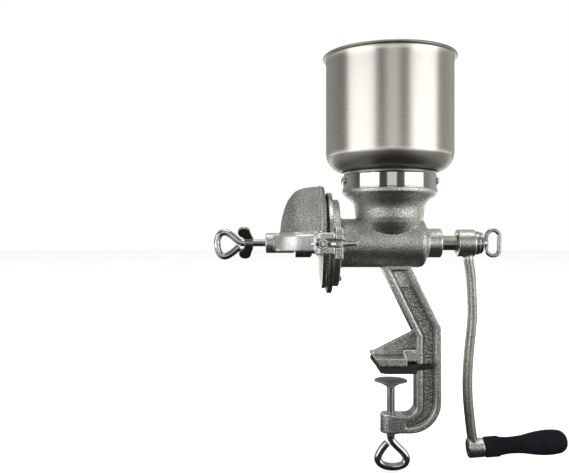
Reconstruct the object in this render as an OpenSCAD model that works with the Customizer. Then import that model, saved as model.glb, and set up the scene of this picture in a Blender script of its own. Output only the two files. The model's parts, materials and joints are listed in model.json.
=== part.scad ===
// Hand grain mill with a clamp, cast iron body, steel burrs and a sheet steel hopper.
// +Z is up, +X runs towards the crank and -Y faces the viewer. The origin is on the table
// face under the rubber pad, straight below the hopper's axis. The mill is shown assembled.

/* [Body casting] */
// Height of the auger's axis above the jaw's underside
jaw_drop = 118.5; // [110:0.5:130]
// Outside radius of the barrel
barrel_r = 24.2; // [23:0.1:27]
// Radius of the auger chamber inside the barrel
chamber_r = 19.2; // [18.6:0.1:20.5]
// Distance from the hopper's axis to the front flange's face
flange_face = 58.6; // [55:0.1:64]
// Radius of the front flange
flange_r = 43.2; // [41:0.1:45]
// Thickness of the front flange
flange_t = 7; // [5:0.1:8]
// Distance from the hopper's axis to the barrel's rear shoulder
barrel_back = 35.2; // [34:0.1:40]
// Thickness of the wall behind the auger chamber
end_wall = 11.2; // [7:0.1:13]
// Radius of the rear bearing boss
bearing_r = 14.5; // [13:0.1:17]
// Length of the rear bearing boss
bearing_l = 15.7; // [14:0.1:20]

/* [Funnel] */
// Outside radius of the socket ring that holds the hopper
socket_r = 45; // [43:0.1:48]
// Height of the socket ring
socket_h = 12.2; // [10:0.1:15]
// Height of the funnel's lip above the auger's axis
lip_rise = 53; // [51:0.1:56]
// Radius of the funnel's round bowl
bowl_r = 34; // [32:0.1:35.5]
// Wall of the funnel
funnel_wall = 3; // [2.2:0.1:4]

/* [Arm and jaw] */
// Width of the arm across the mill
arm_w = 21.5; // [18:0.1:26]
// Depth of the arm from front to back
arm_d = 24.4; // [21:0.1:28]
// Distance from the hopper's axis to the arm's front face
arm_front = 25.5; // [24:0.1:28]
// Thickness of the arm's web
web_t = 9; // [6:0.1:12]
// Width of the rim round the arm's recess
arm_rim = 5.4; // [4.4:0.1:6.4]
// Length of the jaw plate along the mill
jaw_l = 30.4; // [26:0.1:33]
// Width of the jaw plate
jaw_w = 56; // [48:0.5:64]
// Thickness of the jaw plate
jaw_t = 7.2; // [5.5:0.1:9]
// Room between the jaw's underside and the lower arm
throat_h = 51.9; // [47:0.1:57]
// Height of the lower arm
sole_h = 17.5; // [16:0.1:21]

/* [Burrs] */
// Radius of the fixed burr
burr_r = 50; // [48:0.1:52]
// Thickness of the fixed burr
burr_t = 5; // [4:0.1:6]
// Thickness of the turning burr at its face
plate_t = 4.9; // [4.5:0.1:6]
// Room between the two burrs
burr_gap = 0.5; // [0.4:0.05:1]
// Length of the turning burr with its hub
burr_hub_l = 13.3; // [11:0.1:16]
// Number of teeth round each burr
teeth = 36; // [24:4:48]

/* [Auger] */
// Radius of the auger's core
core_r = 7.7; // [7:0.1:8.5]
// Radius of the auger's journal in the rear bearing
journal_r = 7.95; // [7.4:0.05:9]
// Radius of the front stub
stub_r = 6.5; // [5.5:0.1:7]
// Length of the front stub beyond the drive collar
stub_l = 11.2; // [10:0.1:14]
// Advance of the auger's flight in one turn
pitch = 22.4; // [20:0.1:26]
// Flats of the drive end
drive_flat = 14.3; // [13:0.1:14.6]
// Radius of the auger's front hub
front_hub_r = 17.3; // [15:0.1:17.6]

/* [Crank] */
// Room between the rear bearing and the crank's hub
crank_gap = 16.1; // [10:0.1:22]
// Radius of the crank's hub
hub_r = 13.5; // [12.5:0.1:16]
// Length of the crank's hub
hub_l = 17.5; // [15:0.1:20]
// Distance from the auger's axis to the grip's axis
crank_reach = 205.3; // [180:0.5:230]
// Half the thickness of the crank's arm
crank_half_t = 4.8; // [4:0.1:6]
// Half the width of the crank's arm
crank_half_w = 7.2; // [6:0.1:8.4]
// Length of the grip
grip_l = 83.3; // [75:0.1:100]
// Largest radius of the grip
grip_r = 12.3; // [11.5:0.1:14.5]
// Tilt of the grip's axis in degrees
grip_tilt = 4.4; // [0:0.2:6]

/* [Burr cover] */
// Room between the fixed burr's rim and the hood
hood_gap = 6; // [5:0.1:8]
// Wall of the cover
cover_wall = 4; // [3:0.1:5]
// Depth of the cover behind its rim
cover_depth = 43.6; // [42:0.1:48]
// Distance of the swing bolts' pins outside the fixed burr's rim
pivot_out = 13.5; // [13:0.1:16]
// Radius of the swing bolts
bolt_r = 2.5; // [2.2:0.1:3]
// Length of a swing bolt from its pin
bolt_l = 32.5; // [31.5:0.5:44]
// Radius of the adjusting screw
adjuster_r = 3.7; // [3.2:0.1:4.4]

/* [Clamp] */
// Radius of the clamp screw
clamp_r = 4.3; // [3.8:0.1:5]
// Radius of the clamp's pad
clamp_pad_r = 16.5; // [14:0.1:19]
// Distance from the jaw's underside down to the clamp's pad
clamp_open = 18; // [15:0.1:26]

/* [Rubber pad] */
// Thickness of the rubber pad
rubber_t = 4; // [3:0.1:6]
// Width of the rubber pad
rubber_w = 90.4; // [84:0.1:100]
// Length of the rubber pad without its legs
rubber_l = 35; // [32:0.1:39]

/* [Hopper] */
// Radius of the hopper's wall
hopper_r = 63.25; // [58:0.25:70]
// Height of the hopper above its mouth
hopper_h = 132.6; // [120:0.1:150]
// Thickness of the hopper's sheet
sheet_t = 0.8; // [0.7:0.05:1.2]
// How far the hopper's rim stands out
rim_out = 3.2; // [2.6:0.05:4.4]

/* [Hidden] */
$fn = 96;

// Clearances and the overrun that every cut shares
fit = 0.05;
gap = 0.3;
over = 1;

// Castings are grey iron, burrs are darker and hardware is bright
iron = "#b4b3ab";
iron_dark = "#8f8d84";
bright = "#c9ccd0";
satin = "#bdbcb6";
black = "#1b1b1d";

// Heights
axis_z = jaw_drop + rubber_t;
throat_z = jaw_drop + throat_h;
sole_z = throat_z + sole_h;

// Stations along the auger, from the front of the mill to its back
flange_x = -flange_face;
burr_x = flange_x - burr_t;
grind_x = burr_x - burr_gap;
plate_x = grind_x - plate_t;
burr_hub_x = grind_x - burr_hub_l;
collar_l = 11.2;
collar_x = burr_hub_x - collar_l;
stub_x = collar_x - stub_l;
chamber_x = barrel_back - end_wall;
shoulder_x = chamber_x - gap;
bearing_x = barrel_back + bearing_l;
crank_x = bearing_x + crank_gap;
crank_end_x = crank_x + hub_l;

// Fixed burr, its screws and the lugs that the swing bolts clamp
hub_room = 1.2;
burr_hole_r = front_hub_r + hub_room;
screw_inset = 5.8;
screw_ring_r = flange_r - screw_inset;
screw_r = 2.6;
screw_head_r = 4.6;
screw_head_h = 2.4;
screw_l = 15.2;
screw_turns = [45, 165, 285];
tooth_d = 1.1;
burr_edge = 0.6;
tooth_w = 1.8;
pivot_r = burr_r + pivot_out;
lug_over = 4.5;
lug_h = 28.6;
lug_root = 5;
slot_room = 2;
slot_w = 2 * bolt_r + slot_room;
floor_room = 1.5;
slot_floor_r = pivot_r - bolt_r - floor_room;
lug_rib_t = 4.4;
lug_rib_tip = 1;
lug_rib_l = 17.6;
flange_fillet = 3.8;
barrel_round = 5.9;
bead_r = 16.2;
bead_t = 1.6;

// Funnel
lip_over = 2;
lip_r = socket_r + lip_over;
neck_arc_r = 18;
neck_drop = 3.5;
bowl_bottom = 1.2;
bowl_rim = 30;
throat_r = 16.5;
throat_share = 0.8;

// Arm
arm_back = arm_front + arm_d;
arm_top_front = -8.5;
arm_top_back = 20.7;
arm_lean = 26.3;
arm_sink = 3.4;
recess_drop = 2.5;
knee_arc_r = 31;
inner_arc_r = 10;
boss_x = 1.3;
boss_r = 10.4;
boss_over = 0.8;
neck_l = 12.1;
neck_h = 12.5;
gusset_t = 8;
gusset_foot = 3.5;
gusset_top = 4.4;
gusset_rise = 22.8;
jaw_x = arm_front - neck_l - jaw_l;

// Turns a profile of (radius, station) points about the auger's axis
module along_x() rotate([0, 90, 0]) rotate([0, 0, 180]) children();
// Raises what is measured from the auger's axis
module at_axis() translate([0, 0, axis_z]) children();
// Stands a flat outline of (x, z) points up and gives it a width across the mill
module across(w) rotate([90, 0, 0]) linear_extrude(w, center = true) children();
// A round bar or bore from one station to another
module bar(r, x0, x1) translate([x0, 0, 0]) rotate([0, 90, 0]) cylinder(r = r, h = x1 - x0);
module both_sides() {
    children();
    mirror([0, 1, 0]) children();
}

function arc(c, r, a0, a1, n) =
    [for (i = [0 : n]) let (a = a0 + (a1 - a0) * i / n) [c[0] + r * cos(a), c[1] + r * sin(a)]];
// A smooth curve through a list of points, each stretch cut in n steps
function blend_point(p, q, r, s, t) = 0.5 * ((2 * q) + (r - p) * t
    + (2 * p - 5 * q + 4 * r - s) * t * t + (3 * q - p - 3 * r + s) * t * t * t);
function smooth(pts, n) = let (last = len(pts) - 1) [
    for (i = [0 : last - 1], k = [0 : n - 1])
        blend_point(pts[max(i - 1, 0)], pts[i], pts[i + 1], pts[min(i + 2, last)], k / n),
    pts[last]];
// A closed skin over rings of points, with flat ends
module skin(rings) {
    n = len(rings);
    m = len(rings[0]);
    polyhedron(points = [for (ring = rings) each ring], faces = [
        for (i = [0 : n - 2], j = [0 : m - 1]) let (k = (j + 1) % m)
            [i * m + j, (i + 1) * m + j, (i + 1) * m + k],
        for (i = [0 : n - 2], j = [0 : m - 1]) let (k = (j + 1) % m)
            [i * m + j, (i + 1) * m + k, i * m + k],
        [for (j = [0 : m - 1]) j],
        [for (j = [m - 1 : -1 : 0]) (n - 1) * m + j]], convexity = 6);
}
// Rings of an oval section along a curve of (x, z) points
function oval_rings(path, half_t, half_w, sides) = [for (i = [0 : len(path) - 1]) let (
    along = path[min(i + 1, len(path) - 1)] - path[max(i - 1, 0)],
    d = along / norm(along))
    [for (j = [0 : sides - 1]) let (a = 360 * j / sides)
        [path[i][0] + half_t * cos(a) * d[1], half_w * sin(a), path[i][1] - half_t * cos(a) * d[0]]]];

// Outline of the arm, moved inwards by i, from height top down to the lower arm's end at x_end
function arm_outline(i, top, x_end) = let (
    lean = i / cos(arm_lean),
    knee_shift = i * tan(arm_lean / 2),
    front_knee = (arm_front - arm_top_front) / tan(arm_lean),
    back_knee = (arm_back - arm_top_back) / tan(arm_lean),
    start = barrel_r)
    concat(
        [[arm_top_front + lean + (top - start) * tan(arm_lean), -top],
         [arm_front + i, -start - front_knee + knee_shift]],
        arc([arm_front - inner_arc_r, -throat_z + inner_arc_r], inner_arc_r + i, 0, -90, 8),
        [[x_end, -throat_z - i], [x_end, -sole_z + i]],
        arc([arm_back - knee_arc_r, -sole_z + knee_arc_r], knee_arc_r - i, -90, 0, 12),
        [[arm_back - i, -start - back_knee - knee_shift],
         [arm_top_back - lean + (top - start) * tan(arm_lean), -top]]);

module barrel_solid() along_x() rotate_extrude() polygon([
    [0, flange_x], [flange_r, flange_x], [flange_r, flange_x + flange_t],
    [barrel_r + flange_fillet, flange_x + flange_t],
    [barrel_r, flange_x + flange_t + flange_fillet], [barrel_r, barrel_back - barrel_round],
    [barrel_r - barrel_round / 6, barrel_back - barrel_round / 2],
    [barrel_r - barrel_round / 2, barrel_back - barrel_round / 6],
    [bead_r, barrel_back], [bead_r, barrel_back + bead_t],
    [bearing_r, barrel_back + bead_t], [bearing_r, bearing_x], [0, bearing_x]]);

module funnel_solid() rotate_extrude() {
    difference() {
        polygon([[0, bowl_rim], [bowl_r - over, bowl_rim], [lip_r, lip_rise - neck_drop],
            [lip_r, lip_rise], [socket_r, lip_rise], [socket_r, lip_rise + socket_h],
            [0, lip_rise + socket_h]]);
        translate([bowl_r + neck_arc_r, bowl_rim]) circle(neck_arc_r);
    }
    polygon(concat([[0, bowl_rim + over], [bowl_r, bowl_rim + over]],
        [for (i = [0 : 9]) let (a = 90 * i / 9)
            [bowl_r * cos(a), bowl_rim - (bowl_rim - bowl_bottom) * sin(a)]]));
}

module funnel_hollow() rotate_extrude() polygon([
    [0, 0], [throat_r, 0], [throat_r, barrel_r * throat_share],
    [bowl_r - funnel_wall, bowl_rim], [bowl_r - funnel_wall, bowl_rim + neck_arc_r / 3],
    [socket_r - funnel_wall, lip_rise - neck_drop], [socket_r - funnel_wall, lip_rise + socket_h + over],
    [0, lip_rise + socket_h + over]]);

module arm_solid() {
    difference() {
        across(arm_w) polygon(arm_outline(0, barrel_r - arm_sink, boss_x));
        both_sides() translate([0, -(arm_w + web_t) / 4 - over / 2, 0])
            across((arm_w - web_t) / 2 + over)
                polygon(arm_outline(arm_rim, barrel_r + recess_drop, boss_x + boss_r + arm_rim / 2));
    }
    translate([boss_x, 0, -sole_z - boss_over]) cylinder(r = boss_r, h = sole_h + 2 * boss_over);
}

module jaw() {
    translate([jaw_x, -jaw_w / 2, -jaw_drop]) cube([jaw_l, jaw_w, jaw_t]);
    translate([jaw_x + jaw_l - over, -arm_w / 2, -jaw_drop + over])
        cube([arm_front - jaw_x - jaw_l + 2 * over, arm_w, neck_h]);
    across(gusset_t) polygon([[jaw_x, -jaw_drop + jaw_t - over],
        [jaw_x, -jaw_drop + jaw_t + gusset_foot], [arm_front - gusset_top, -jaw_drop + jaw_t + gusset_rise],
        [arm_front + over, -jaw_drop + jaw_t + gusset_rise], [arm_front + over, -jaw_drop + jaw_t - over]]);
}

module lug() {
    translate([flange_x, flange_r - lug_root, -lug_h / 2])
        cube([flange_t, pivot_r + lug_over - flange_r + lug_root, lug_h]);
    hull() {
        translate([flange_x + flange_t - over, chamber_r + over, -lug_rib_t / 2])
            cube([over, flange_r - chamber_r - over, lug_rib_t]);
        translate([flange_x + flange_t + lug_rib_l - over, chamber_r + over, -lug_rib_tip / 2])
            cube([over, barrel_r - chamber_r - 2 * over, lug_rib_tip]);
    }
}

module mill_housing() color(iron) at_axis() difference() {
    union() {
        barrel_solid();
        funnel_solid();
        arm_solid();
        jaw();
        both_sides() lug();
    }
    funnel_hollow();
    bar(chamber_r, flange_x - over, chamber_x);
    bar(journal_r + fit, chamber_x - over, bearing_x + over);
    both_sides() translate([flange_x - over, slot_floor_r, -slot_w / 2])
        cube([flange_t + 2 * over, pivot_r, slot_w]);
    for (a = screw_turns) rotate([a, 0, 0]) translate([0, screw_ring_r, 0])
        bar(screw_r + fit, flange_x - over, flange_x + flange_t + lug_rib_l / 2);
    translate([boss_x, 0, -sole_z - boss_over - over])
        cylinder(r = clamp_r + fit, h = sole_h + 2 * boss_over + 2 * over);
}

// Radial teeth, cut in a face that looks along -X (side = -1) or +X (side = 1)
module teeth_cut(face_x, side, inner_r, outer_r, count) for (i = [0 : count - 1])
    rotate([360 * i / count, 0, 0])
        translate([side < 0 ? face_x - over : face_x - tooth_d, inner_r, -tooth_w / 2])
            cube([tooth_d + over, outer_r - inner_r, tooth_w]);

module stationary_burr() color(iron_dark) at_axis() difference() {
    along_x() rotate_extrude() polygon([[burr_hole_r, burr_x], [burr_r - burr_edge, burr_x],
        [burr_r, burr_x + burr_edge], [burr_r, flange_x], [burr_hole_r, flange_x]]);
    teeth_cut(burr_x, -1, screw_ring_r + screw_head_r + over, burr_r + over, teeth);
    teeth_cut(burr_x, -1, burr_hole_r - over, screw_ring_r - screw_head_r - over, teeth / 2);
    for (a = screw_turns) rotate([a, 0, 0]) translate([0, screw_ring_r, 0]) {
        bar(screw_r + fit, burr_x - over, flange_x + over);
        bar(screw_head_r + fit, burr_x - over, burr_x + tooth_d + screw_head_h);
    }
}

module burr_screws() color(bright) at_axis() for (a = screw_turns)
    rotate([a, 0, 0]) translate([burr_x + tooth_d, screw_ring_r, 0]) difference() {
        union() {
            bar(screw_head_r, 0, screw_head_h);
            bar(screw_r, screw_head_h - over, screw_l);
        }
        translate([-over, -screw_head_r - over, -tooth_w / 3])
            cube([over + screw_head_h / 2, 2 * (screw_head_r + over), tooth_w / 1.5]);
    }

// Rubber pad between the jaw and the table, its legs clipped behind the arm's front rim
notch_x = arm_front - gap;
notch_l = 9;
notch_in = 39.8;
mouth_w = 17;
hook_l = 5;
rubber_x = notch_x - notch_in;
tail_x = notch_x + notch_l + hook_l;
tail_half = 29.6;
tail_tip_half = 18.5;
rubber_round = 6;
rib_count = 12;
rib_pitch = 2.35;
rib_d = 0.8;
rib_l = 27;
rib_edge = 2;
module rubber_plate() linear_extrude(rubber_t) {
    translate([rubber_x, -rubber_w / 2 + rubber_round]) square([rubber_l, rubber_w - 2 * rubber_round]);
    translate([rubber_x + rubber_round, -rubber_w / 2]) square([rubber_l - 2 * rubber_round, rubber_w]);
    for (x = [rubber_x + rubber_round, rubber_x + rubber_l - rubber_round],
        y = [-1, 1] * (rubber_w / 2 - rubber_round)) translate([x, y]) circle(rubber_round);
}
module rubber_tail() linear_extrude(rubber_t) polygon([
    [rubber_x + rubber_l / 2, -tail_half], [rubber_x + rubber_l, -tail_half], [tail_x, -tail_tip_half],
    [tail_x, tail_tip_half], [rubber_x + rubber_l, tail_half], [rubber_x + rubber_l / 2, tail_half]]);
module rubber_pad() color(black) difference() {
    union() {
        rubber_plate();
        rubber_tail();
    }
    translate([notch_x, -arm_w / 2 - gap, -over])
        cube([notch_l, arm_w + 2 * gap, rubber_t + 2 * over]);
    translate([notch_x + over, -mouth_w / 2, -over])
        cube([notch_l + hook_l, mouth_w, rubber_t + 2 * over]);
    for (i = [0 : rib_count - 1]) both_sides()
        translate([rubber_x + rubber_round / 2 + i * rib_pitch, rubber_w / 2 - rib_l - rib_edge, -over])
            cube([rib_pitch / 2, rib_l, over + rib_d]);
}

// Hopper: a pressed bowl with a rolled rim, and the collar that slips over the socket ring
mouth_z = lip_rise + gap / 3;
collar_h = 15.5;
collar_in = socket_r + gap;
neck_r = collar_in - gap / 6;
shoulder_r = 20;
shoulder_turn = 84;
flare_h = 9;
rim_bead = 1.6;
module hopper_bowl() color(satin) translate([0, 0, axis_z + mouth_z]) rotate_extrude() {
    neck_z = socket_h + gap;
    base_z = collar_h + 1.5 * sheet_t;
    flare_z = hopper_h - flare_h;
    polygon(concat([[neck_r - sheet_t, neck_z], [neck_r, neck_z], [neck_r, base_z]],
        arc([hopper_r - shoulder_r, base_z + shoulder_r], shoulder_r, -shoulder_turn, 0, 10),
        [[hopper_r, flare_z], [hopper_r + rim_out - sheet_t, hopper_h],
         [hopper_r + rim_out - 2 * sheet_t, hopper_h], [hopper_r - sheet_t, flare_z]],
        arc([hopper_r - shoulder_r, base_z + shoulder_r], shoulder_r - sheet_t, 0, -shoulder_turn, 10),
        [[neck_r - sheet_t, base_z + sheet_t]]));
    translate([hopper_r + rim_out - rim_bead, hopper_h - rim_bead]) circle(rim_bead);
}
collar_bead = 2.2;
collar_bead_z = 8.4;
module hopper_collar() color(satin) translate([0, 0, axis_z + mouth_z]) rotate_extrude() difference() {
    union() {
        translate([collar_in, 0]) square([sheet_t, collar_h]);
        translate([collar_in + sheet_t, collar_bead_z]) circle(collar_bead);
        translate([collar_in, collar_h - sheet_t]) square([4 * sheet_t, sheet_t]);
    }
    translate([collar_in - collar_bead * 2, 0]) square([collar_bead * 2, collar_h + over]);
}

// Burr cover: a yoke across the mill, a half bowl above it, a bored boss and two forked ears
hood_r = burr_r + hood_gap;
hood_back = 2.3;
hood_x = burr_x - hood_back;
dome_x = hood_x - cover_depth;
cover_boss_l = 14.2;
boss_front_x = dome_x - cover_boss_l;
ball_r = 5;
ball_x = stub_x - ball_r - gap / 3;
tip_x = ball_x - ball_r - gap / 3;
socket_x = tip_x - gap;
nose_l = 4.6;
nose_x = stub_x + nose_l;
cover_boss_r = 10;
yoke_h = 15;
yoke_rise = 5.5;
yoke_out = 0.8;
yoke_r = hood_r + yoke_out;
rim_rib_out = 1.1;
rim_rib_r = hood_r + rim_rib_out;
rim_rib_w = 2.2;
rim_rib_in = 5;
rim_rib_x = hood_x - rim_rib_in;
ear_h = 20;
ear_room = 0.4;
ear_x = flange_x - ear_room;
ear_l = 12.4;
pivot_x = ear_x - ear_l;
lobe_r = 4.8;
pin_r = 2;
pin_head_r = 3.4;
eye_r = 4.2;
eye_room = 0.6;
// Shares of depth and of radius along the side of the hood and of the yoke, from the boss to the rim
hood_shares = [[0, 0], [0.023, 0.357], [0.126, 0.661], [0.241, 0.821], [0.378, 0.929], [0.585, 0.982],
    [0.791, 1], [1, 1]];
yoke_shares = [[0, 0], [0.016, 0.352], [0.1, 0.651], [0.169, 0.796], [0.336, 0.926], [0.505, 0.986],
    [0.827, 1], [1, 1]];
function dome_side(r, depth, shares) = [for (s = smooth(shares, 3)) [r * s[1], hood_x - depth * (1 - s[0])]];
module dome_outer(r, depth, shares) polygon(concat(dome_side(r, depth, shares), [[0, hood_x]]));
module dome_inner() polygon(concat(dome_side(hood_r - cover_wall, cover_depth - cover_wall, hood_shares),
    [[hood_r - cover_wall, hood_x + over], [0, hood_x + over]]));
module upper_half() translate([boss_front_x, -2 * hood_r, 0]) cube([4 * hood_r, 4 * hood_r, 4 * hood_r]);
module ear() difference() {
    translate([0, 0, -ear_h / 2]) linear_extrude(ear_h) {
        translate([pivot_x, pivot_r]) circle(lobe_r);
        translate([pivot_x - lobe_r, hood_r - cover_wall])
            square([2 * lobe_r, pivot_r - hood_r + cover_wall]);
        translate([pivot_x, hood_r - cover_wall])
            square([ear_x - pivot_x, pivot_r + lobe_r - hood_r + cover_wall]);
    }
    translate([pivot_x - lobe_r - over, pivot_r - eye_r - eye_room, -slot_w / 2])
        cube([ear_x - pivot_x + lobe_r + 2 * over, pivot_r, slot_w]);
    translate([pivot_x, pivot_r, -ear_h]) cylinder(r = pin_r + fit, h = 2 * ear_h);
}
module burr_cover() color(iron) at_axis() difference() {
    union() {
        intersection() {
            along_x() rotate_extrude() difference() {
                dome_outer(hood_r, cover_depth, hood_shares);
                dome_inner();
            }
            upper_half();
        }
        intersection() {
            along_x() rotate_extrude() difference() {
                dome_outer(yoke_r, cover_depth + yoke_rise, yoke_shares);
                dome_inner();
            }
            translate([boss_front_x, -2 * hood_r, -yoke_h / 2]) cube([4 * hood_r, 4 * hood_r, yoke_h]);
        }
        intersection() {
            along_x() rotate_extrude() translate([hood_r - over, rim_rib_x])
                square([rim_rib_r - hood_r + over, rim_rib_w]);
            upper_half();
        }
        bar(cover_boss_r, boss_front_x, nose_x);
        both_sides() ear();
    }
    bar(stub_r + fit, socket_x, nose_x + over);
    bar(adjuster_r + fit, boss_front_x - over, socket_x + over);
}

module thrust_ball() color(bright) at_axis() translate([ball_x, 0, 0]) sphere(ball_r);

// Bent eye of a screw, in shares of its length and of its width
eye_shares = [[-0.06, 0], [0.1, 0.02], [0.27, 0.14], [0.44, 0.3], [0.6, 0.42], [0.77, 0.46], [0.92, 0.37],
    [1, 0.15], [1, -0.13], [0.92, -0.36], [0.78, -0.47], [0.62, -0.45], [0.46, -0.36], [0.32, -0.24]];
eye_steps = 2;
eye_sides = 10;
adjuster_eye_l = 26.4;
adjuster_eye_w = 25.6;
adjuster_out = 21.7;
adjuster_eye_x = boss_front_x - adjuster_out;
adjuster_eye_drop = 1.2;
wire_r = 3.4;
module adjusting_screw() color(bright) at_axis() {
    bar(adjuster_r, adjuster_eye_x, tip_x);
    skin(oval_rings(smooth([for (s = eye_shares) [adjuster_eye_x - s[0] * adjuster_eye_l,
        s[1] * adjuster_eye_w - adjuster_eye_drop * sin(90 * max(s[0], 0))]], eye_steps),
        wire_r, wire_r, eye_sides));
}

// A wing nut whose hub starts at the origin and points along +X, wings in the XZ plane
module wing_nut(bore_r, nut_r, hub_h, span, rise, wing_t, paddle_r) difference() {
    union() {
        bar(nut_r, 0, hub_h);
        across(wing_t) for (m = [0, 1]) mirror([0, m]) {
            polygon([[0, nut_r - over], [hub_h, nut_r - over], [rise, span / 2 - paddle_r],
                [rise - 2 * paddle_r, span / 2 - paddle_r]]);
            translate([rise - paddle_r, span / 2 - paddle_r]) circle(paddle_r);
        }
    }
    bar(bore_r, -over, hub_h + over);
}

lock_nut_out = 12.5;
lock_nut_x = boss_front_x - lock_nut_out;
lock_nut_turn = 40;
lock_hub_r = 6.4;
lock_hub_h = 8.6;
lock_span = 40;
lock_rise = 14.8;
lock_wing_t = 3.2;
lock_paddle_r = 6.1;
module lock_wing_nut() color(bright) at_axis() translate([lock_nut_x, 0, 0]) rotate([lock_nut_turn, 0, 0])
    mirror([1, 0, 0])
        wing_nut(adjuster_r + fit, lock_hub_r, lock_hub_h, lock_span, lock_rise, lock_wing_t, lock_paddle_r);

// Swing bolt in its own frame: its pin on the Z axis, its rod along +Y
eye_h = 6;
nut_base = 26;
nut_hub_r = 4.9;
nut_hub_h = 4.4;
nut_span = 22;
nut_rise = 10.8;
nut_tab_t = 2.8;
nut_tip_w = 4.3;
nut_tip_drop = 2.2;
module swing_bolt() color(bright) difference() {
    union() {
        translate([0, 0, -eye_h / 2]) cylinder(r = eye_r, h = eye_h);
        rotate([-90, 0, 0]) cylinder(r = bolt_r, h = bolt_l);
    }
    translate([0, 0, -eye_h]) cylinder(r = pin_r + fit, h = 2 * eye_h);
}
module swing_pin() color(bright) {
    translate([0, 0, -ear_h / 2 - over]) cylinder(r = pin_r, h = ear_h + 2 * over);
    translate([0, 0, ear_h / 2]) cylinder(r = pin_head_r, h = pin_r);
}
// Wing nut of a swing bolt, with flat tabs cut off square
module bolt_nut() color(bright) translate([0, nut_base, 0]) rotate([0, 0, 90]) rotate([90, 0, 0])
    difference() {
        union() {
            bar(nut_hub_r, 0, nut_hub_h);
            across(nut_tab_t) for (m = [0, 1]) mirror([0, m]) polygon([
                [0, nut_hub_r - over], [nut_hub_h, nut_hub_r - over],
                [nut_rise, nut_span / 2 - nut_tip_w], [nut_rise - nut_tip_drop, nut_span / 2]]);
        }
        bar(bolt_r + fit, -over, nut_hub_h + over);
    }
module at_far() translate([pivot_x, pivot_r, axis_z]) children();
module at_near() mirror([0, 1, 0]) at_far() children();
module swing_bolt_near() at_near() swing_bolt();
module swing_bolt_far() at_far() swing_bolt();
module swing_pin_near() at_near() swing_pin();
module swing_pin_far() at_far() swing_pin();
module wing_nut_near() at_near() bolt_nut();
module wing_nut_far() at_far() bolt_nut();

// Auger: stub, shaft, front hub, flights, rear shoulder, journal and drive end
flight_room = 2;
flight_r = chamber_r - flight_room;
flight_w = 14;
front_hub_l = 10;
journal_l = 25.2;
drive_end_in = 1.5;
drive_end_x = crank_end_x - drive_end_in;
// Half the width of the drive end's flats, so that its corners clear the journal's round
corner_room = 0.45;
drive_corner = sqrt(pow(journal_r - corner_room, 2) - pow(drive_flat / 2, 2));
stud_r = 3.3;
stud_l = 10;
shoulder_disc_r = 12;
flight_steps = 20;
// Height of the flight at its end, as a share of its full height, and how fast it rises from there
flight_end_share = 0.6;
flight_rise_share = 4;
// Section of the flight, in shares of its width and of its height over the core
flight_shares = [[-0.5, -0.12], [-0.33, 0.25], [-0.24, 0.65], [-0.13, 0.93], [0, 1], [0.13, 0.93],
    [0.24, 0.65], [0.33, 0.25], [0.5, -0.12]];
flight_sink = 3;
flight_start_x = grind_x + front_hub_l - flight_sink;
flight_turns = (shoulder_x - over - flight_start_x - flight_w / 2 - gap) / pitch;
function flight_rings(x0, turns, a0, height) = let (n = ceil(turns * flight_steps))
    [for (i = [0 : n]) let (t = i / n, a = a0 - 360 * turns * t,
        h = height * min(1, flight_end_share + flight_rise_share * (1 - t) * turns))
        [for (s = flight_shares) let (r = core_r + s[1] * h)
            [x0 + turns * pitch * t + s[0] * flight_w, r * cos(a), r * sin(a)]]];
crest_x = -0.2;
module auger() color(iron_dark) at_axis() difference() {
    union() {
        bar(stub_r, stub_x, grind_x + over);
        bar(front_hub_r, grind_x, grind_x + front_hub_l);
        bar(core_r, grind_x + over, shoulder_x);
        skin(flight_rings(flight_start_x, flight_turns, 90 - 360 * (flight_start_x - crest_x) / pitch,
            flight_r - core_r));
        bar(shoulder_disc_r, shoulder_x - over, shoulder_x);
        bar(journal_r, shoulder_x - over, shoulder_x + journal_l);
        translate([shoulder_x + journal_l - over, 0, 0]) rotate([0, 90, 0])
            linear_extrude(drive_end_x - shoulder_x - journal_l + over)
                polygon([for (a = [0 : 90 : 270], side = [-1, 1])
                    let (h = drive_flat / 2, w = side * drive_corner)
                        [h * cos(a) - w * sin(a), h * sin(a) + w * cos(a)]]);
    }
    bar(stud_r + fit, drive_end_x - stud_l, drive_end_x + over);
    translate([(burr_hub_x + collar_x) / 2, 0, -front_hub_r])
        cylinder(r = drive_pin_r + fit, h = 2 * front_hub_r);
}

// Shares of radius and of length along the back of the turning burr
plate_in = 5;
plate_r = burr_r - plate_in;
burr_back_shares = [[0.233, 0], [0.253, 0.28], [0.333, 0.48], [0.533, 0.58], [1, 0.66]];
module rotating_burr() color(iron_dark) at_axis() difference() {
    along_x() rotate_extrude() polygon(concat([[stub_r + fit, burr_hub_x]],
        [for (s = burr_back_shares) [s[0] * plate_r, burr_hub_x + s[1] * burr_hub_l]],
        [[plate_r, grind_x], [stub_r + fit, grind_x]]));
    teeth_cut(grind_x, 1, front_hub_r + hub_room, burr_r, teeth);
}

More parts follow.
